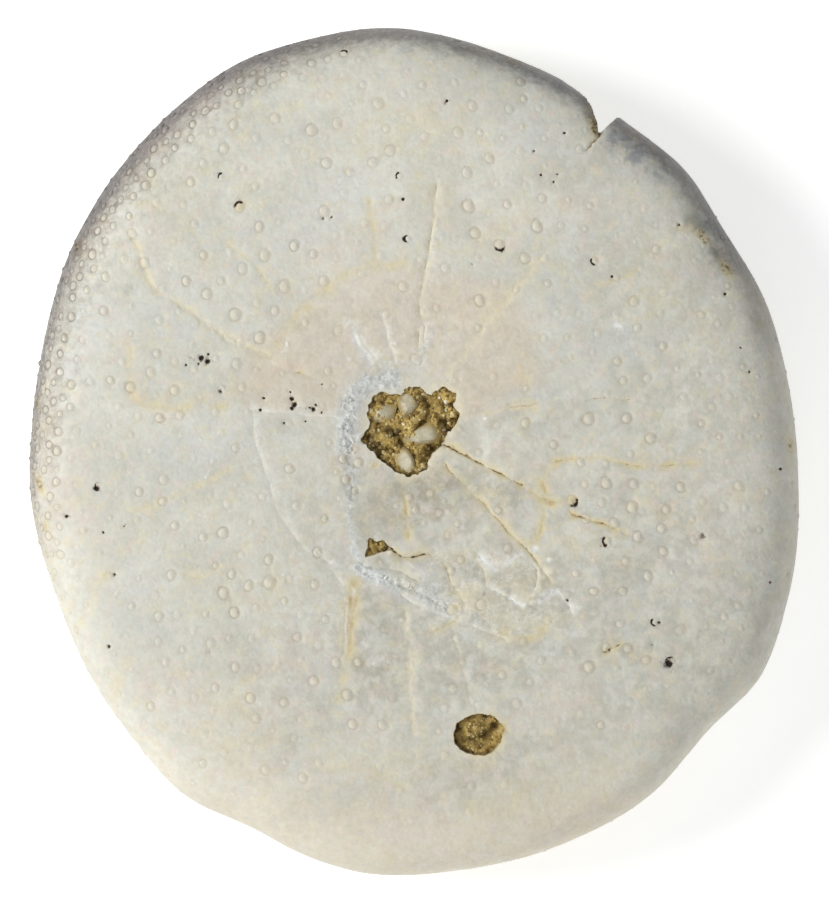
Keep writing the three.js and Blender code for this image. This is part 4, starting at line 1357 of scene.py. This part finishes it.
def wornReliefTree():
    tree, given, out = newGroup("wornRelief", "GeometryNodeTree", [
        ("Geometry", "NodeSocketGeometry", None), ("Knob height", "NodeSocketFloat", 0.2),
        ("Wear (mm)", "NodeSocketFloat", 0.03), ("Crushed depth (mm)", "NodeSocketFloat", 0.12),
        ("Pore depth (mm)", "NodeSocketFloat", 0.14), ("Material", "NodeSocketMaterial", None),
    ], [("Geometry", "NodeSocketGeometry")])
    b = Board(tree)
    where = b.millimetres()
    profile = b.add("ShaderNodeFloatCurve", {"Value": b.math("DIVIDE", b.mark("knobShare"), knobReach)})
    curve = profile.mapping.curves[0]
    while len(curve.points) < len(knobProfile):
        curve.points.new(0.5, 0.5)
    for point, (x, y) in zip(curve.points, knobProfile):
        point.location = (x / knobReach, y)
    profile.mapping.update()
    knob = b.product(b.swing(profile.outputs[0], 2.0), b.mark("knobRelief"), given.outputs["Knob height"])
    wear = b.swing(b.noise(where, 0.45, 3.0, 0.55), b.product(given.outputs["Wear (mm)"], 2.0))
    flake, flakeEdge = flakeCells(b, where)
    flakes = b.sum(b.math("SUBTRACT", b.parts(flake)[0], 0.7), b.ramp(flakeEdge, 0.2, 0.02, 0.0, 0.75))
    flakes = b.product(flakes, b.mark("crush"), given.outputs["Crushed depth (mm)"])
    chips = b.product(b.swing(b.noise(where, 3.5, 3.0, 0.6), b.mark("broken")), 0.6)
    hollow = b.sum(b.mark("groove"), b.mark("sunk"), b.product(b.mark("pores"), given.outputs["Pore depth (mm)"]))
    total = b.math("SUBTRACT", b.sum(knob, wear, flakes, chips), hollow)
    push = b.scaled(b.mark("outward", "FLOAT_VECTOR"), b.product(total, mm))
    moved = b.add("GeometryNodeSetPosition", {"Geometry": given.outputs["Geometry"], "Offset": push})
    # nothing goes below the plane that it rests on
    x, y, z = b.parts(b.add("GeometryNodeInputPosition"))
    level = b.add("ShaderNodeCombineXYZ", {0: x, 1: y, 2: b.math("MAXIMUM", z, 0.0)})
    settled = b.add("GeometryNodeSetPosition", {"Geometry": moved, "Position": level})
    finishTree(b, out, settled, given.outputs["Material"])
    return tree


test = shapedBy(linked("rough_test", testMesh), wornReliefTree(), {
    "Knob height": 0.14, "Wear (mm)": 0.05, "Crushed depth (mm)": 0.12, "Pore depth (mm)": 0.16,
    "Material": shellPaint,
}, "worn_test")
test.data.set_sharp_from_angle(angle=math.radians(shell["sharpFrom"]))
print("test:", len(test.data.polygons), "triangles")


def crumblySandTree():
    tree, given, out = newGroup("crumblySand", "GeometryNodeTree", [
        ("Geometry", "NodeSocketGeometry", None), ("Grains per mm2", "NodeSocketFloat", 18.0),
        ("Smallest (mm)", "NodeSocketFloat", 0.07), ("Largest (mm)", "NodeSocketFloat", 0.2),
        ("Seed", "NodeSocketInt", 1), ("Material", "NodeSocketMaterial", None),
    ], [("Geometry", "NodeSocketGeometry")])
    b = Board(tree)
    onTop = b.math("GREATER_THAN", b.parts(b.add("GeometryNodeInputNormal"))[2], 0.35)
    spots = b.add("GeometryNodeDistributePointsOnFaces", {
        "Mesh": given.outputs["Geometry"], "Selection": onTop, "Seed": given.outputs["Seed"],
        "Density": b.product(given.outputs["Grains per mm2"], 1e6)}, distribute_method="RANDOM")
    # most grains are near the smallest size
    smallest, largest = given.outputs["Smallest (mm)"], given.outputs["Largest (mm)"]
    skewed = b.math("POWER", b.random(0.0, 1.0, given.outputs["Seed"]), 2.2)
    size = b.sum(smallest, b.product(skewed, b.math("SUBTRACT", largest, smallest)))
    scale = b.scaled(b.random((0.65, 0.65, 0.5), (1.25, 1.1, 0.95)), b.product(size, mm))
    turn = b.random((0.0, 0.0, 0.0), (6.28, 6.28, 6.28))
    grain = b.add("GeometryNodeMeshIcoSphere", {"Radius": 1.0, "Subdivisions": 1})
    placed = b.add("GeometryNodeInstanceOnPoints", {
        "Points": spots.outputs["Points"], "Instance": grain.outputs["Mesh"], "Rotation": turn, "Scale": scale})
    toned = b.add("GeometryNodeStoreNamedAttribute", {
        "Geometry": placed, "Name": "tone", "Value": b.random(0.0, 1.0, 7)}, data_type="FLOAT", domain="INSTANCE")
    joined = b.add("GeometryNodeJoinGeometry")
    b.feed(joined.inputs[0], given.outputs["Geometry"])
    b.feed(joined.inputs[0], toned)
    finishTree(b, out, joined, given.outputs["Material"])
    return tree


sandTree = crumblySandTree()
# tops and lumps in millimetres; hollow is place, radius and depth; the last entry points to the low side of the sand,
# which is painted in shade
plugs = {
    "mouth": {"node": "mouth_sand", "top": 7.5, "lumps": 0.45, "lumpSize": 0.8, "dip": 0.0, "seed": 3,
              "grains": 16.0, "smallest": 0.06, "largest": 0.24, "hollow": (1.6, -0.5, 0.7, 0.5),
              "lowShadedSide": (-0.6, -0.8)},
    "vent": {"node": "vent_sand", "top": 8.5, "lumps": 0.22, "lumpSize": 0.7, "dip": 0.12, "seed": 5,
             "grains": 20.0, "smallest": 0.04, "largest": 0.15, "hollow": (0.6, -19.0, 0.42, 0.7),
             "lowShadedSide": (-0.7, -0.3)},
    "chip": {"node": "chip_sand", "top": 8.1, "lumps": 0.26, "lumpSize": 0.45, "dip": 0.1, "seed": 9,
             "grains": 26.0, "smallest": 0.05, "largest": 0.2, "hollow": None, "lowShadedSide": (0.2, -0.9)},
}


def sandPlug(name):
    plug, hole, loop = plugs[name], holes[name], holeLoops[name]
    middle, edge = loop.mean(0), drawnIn(loop, 0.05)
    grid = gridOver(edge.min(0), edge.max(0), 0.11)
    grid = grid + draw.uniform(-0.02, 0.02, grid.shape)
    grid = grid[insideLoop(grid, edge) & (distanceToPath(grid, closedLoop(edge), 1) > 0.06)]
    flat, faces, _ = triangulated(edge, loopEdges(0, len(edge)), grid, 1)
    rimDistance = distanceToPath(flat, closedLoop(edge), 9)
    bumps = np.array([noise.fractal(Vector((x / plug["lumpSize"], y / plug["lumpSize"], plug["seed"])), 0.8, 2.1, 4)
                      for x, y in flat])
    side = (flat - middle) @ np.array(plug["lowShadedSide"]) / np.hypot(*(loop - middle).T).mean()
    top = plug["top"] + plug["lumps"] * bumps - plug["dip"] * (1 - ease(rimDistance, 0, 0.5)) - 0.12 * side
    # painted shade: darker at the wall's edge, most towards the low side, in the hollow and in the dips between
    # lumps; noise adds patches of darker sand
    darkSandAndShade = (1 - ease(rimDistance, 0.0, 0.28)) * (0.35 + 0.55 * ease(side, -0.1, 0.7))
    patches = noiseAt(flat, 0.9, plug["seed"] + 5.0)
    darkSandAndShade = np.maximum(darkSandAndShade, ease(patches + 0.35 * side, 0.12, 0.5) * 0.75)
    if plug["hollow"]:
        x, y, size, depth = plug["hollow"]
        d = np.hypot(flat[:, 0] - x, flat[:, 1] - y) / size
        top = top - depth * bell(d, 1)
        darkSandAndShade = np.maximum(darkSandAndShade, 0.9 * bell(d, 0.8))
    darkSandAndShade = np.clip(darkSandAndShade + 0.55 * ease(-bumps, 0.05, 0.45), 0, 1)
    # walls and underside close the plug; the outline's points come first
    count, around = len(flat), len(edge)
    body = np.vstack([np.column_stack([flat, top]),
                      np.column_stack([flat[:around], np.full(around, hole["floor"] + 0.01)])])
    walls = [(i, count + i, count + j, j) for i, j in loopEdges(0, around)]
    under = [tuple(count + i for i in reversed(range(around)))]
    mesh = makeMesh(plug["node"] + "_plug", body, [tuple(f) for f in faces] + walls + under)
    # the plug is lighter on its lumps and darker in its dips: painted light and shade on its relief
    tone = np.clip(0.35 + 0.5 * bumps, 0, 0.8)
    addMarks(mesh, {"tone": np.append(tone, np.zeros(around)), "darkSandAndShade": np.append(darkSandAndShade, np.ones(around))})
    sand = shapedBy(linked(plug["node"] + "_plug", mesh), sandTree, {
        "Grains per mm2": plug["grains"], "Smallest (mm)": plug["smallest"], "Largest (mm)": plug["largest"],
        "Seed": plug["seed"], "Material": sandPaint,
    }, "crumbly_" + plug["node"])
    print(sand.name, len(sand.data.polygons), "faces")
    return sand


sandPieces = {plugs[name]["node"]: sandPlug(name) for name in plugs}


# the four pale grains: each is cut by flat facets, then roughened

paleGrains = {
    "mouth_grain_1": {"turn": 0.2, "facets": 12, "seed": 11, "rise": 0.3},
    "mouth_grain_2": {"turn": -0.35, "facets": 10, "seed": 23, "rise": 0.34},
    "mouth_grain_3": {"turn": 0.25, "facets": 12, "seed": 37, "rise": 0.28},
    "mouth_grain_4": {"turn": 0.15, "facets": 11, "seed": 53, "rise": 0.3},
}


def paleGrain(node):
    grain = paleGrains[node]
    low, high = [np.array(corner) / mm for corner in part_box(node)]
    middle, half = (low + high) / 2, (high - low) / 2
    bpy.ops.mesh.primitive_ico_sphere_add(subdivisions=5, radius=1.0)
    source = bpy.context.object
    points = np.array([tuple(v.co) for v in source.data.vertices])
    faces = [tuple(p.vertices) for p in source.data.polygons]
    bpy.data.objects.remove(source)
    cutter = np.random.default_rng(grain["seed"])
    for _ in range(grain["facets"]):
        way = cutter.normal(size=3)
        way /= np.linalg.norm(way)
        level = cutter.uniform(0.55, 0.82)
        over = np.maximum(points @ way - level, 0)
        points = points - np.outer(over * 0.93, way)
    lumps = np.array([noise.fractal(Vector(p * 1.4 + grain["seed"]), 0.9, 2.0, 4) for p in points])
    fine = np.array([noise.fractal(Vector(p * 6.0 + grain["seed"]), 0.8, 2.0, 3) for p in points])
    points = points * (1 + 0.09 * lumps + 0.015 * fine)[:, None]
    points = points / np.abs(points).max(0) * half * np.array([1.5, 1.5, 1.1])
    points = points + middle + np.array([0, 0, grain["rise"]])
    mesh = makeMesh("pale_" + node, points, faces)
    away = np.hypot(*((points - middle)[:, :2] / half[:2]).T)
    addMarks(mesh, {"buried": ease(away, 0.55, 1.25) * 0.85})
    mesh.materials.append(grainPaint)
    return linked("pale_" + node, mesh)


grainPieces = {node: paleGrain(node) for node in paleGrains}

for piece, node, slot in ([(test, "test", "shell")] + [(p, n, "sand") for n, p in sandPieces.items()]
                          + [(p, n, "grain") for n, p in grainPieces.items()]):
    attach(piece, "root")
    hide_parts(node)


# floor, lights and camera

card = {"reach": 3000, "height": -0.03, "clouds": ("f2f2f1", "f5f5f4"), "cloudSize": 60.0, "glow": 0.42}


def floorMaterial():
    material, b, bsdf = newMaterial("pale_card", 0.8, 0.2)
    clouds, _ = useGroup(b, mottle, card["cloudSize"])
    b.feed(bsdf.inputs["Base Color"], b.mix(clouds, *[paint(code) for code in card["clouds"]]))
    bsdf.inputs["Emission Color"].default_value = (1, 1, 1, 1)
    bsdf.inputs["Emission Strength"].default_value = card["glow"]
    return material


reach = card["reach"]
floorCorners = [(x * reach, y * reach, card["height"]) for x, y in ((-1, -1), (1, -1), (1, 1), (-1, 1))]
floorMesh = makeMesh("floor", floorCorners, [(0, 1, 2, 3)], smooth=False)
floorMesh.materials.append(floorMaterial())
floor = linked("floor", floorMesh)

studio = {
    "sky": 0.33,
    "key": {"from": (-0.18, 0.075, 0.16), "size": 0.12, "power": 0.45, "tint": (1.0, 0.99, 0.97)},
    "back": {"from": (-0.04, -0.26, 0.09), "size": 0.16, "power": 0.19, "tint": (1.0, 0.99, 0.97)},
    "top": {"from": (0.0, 0.0, 0.75), "size": 0.7, "power": 0.8, "tint": (0.97, 0.985, 1.0)},
}

world = bpy.data.worlds.new("studio")
world.use_nodes = True
sky = world.node_tree.nodes["Background"]
sky.inputs["Color"].default_value = (0.96, 0.98, 1.0, 1)
sky.inputs["Strength"].default_value = studio["sky"]
scene.world = world

for name in ("key", "back", "top"):
    lamp = studio[name]
    light = bpy.data.lights.new(name, "AREA")
    light.shape, light.size, light.energy, light.color = "DISK", lamp["size"], lamp["power"], lamp["tint"]
    holder = linked(name, light)
    holder.visible_camera = False
    holder.location = lamp["from"]
    holder.rotation_euler = (-Vector(lamp["from"])).to_track_quat("-Z", "Y").to_euler()

# straight above, at a distance where the frame spans viewHeight at the rim
view = {"lens": 250.0, "sensor": 36.0, "viewHeight": 58.8, "over": (0.19, -0.22), "turn": -12.83, "clipEnd": 20}
cameraData = bpy.data.cameras.new("camera")
cameraData.lens = view["lens"]
cameraData.sensor_width = view["sensor"]
cameraData.clip_end = view["clipEnd"]
camera = linked("camera", cameraData)
rimHeight = next(height for share, height in shell["section"] if share == 1)
cameraHeight = rimHeight + view["viewHeight"] * view["lens"] / view["sensor"]
camera.location = Vector((*view["over"], cameraHeight)) * mm
camera.rotation_euler = (0, 0, math.radians(view["turn"]))
scene.camera = camera
scene.view_settings.view_transform = "Standard"
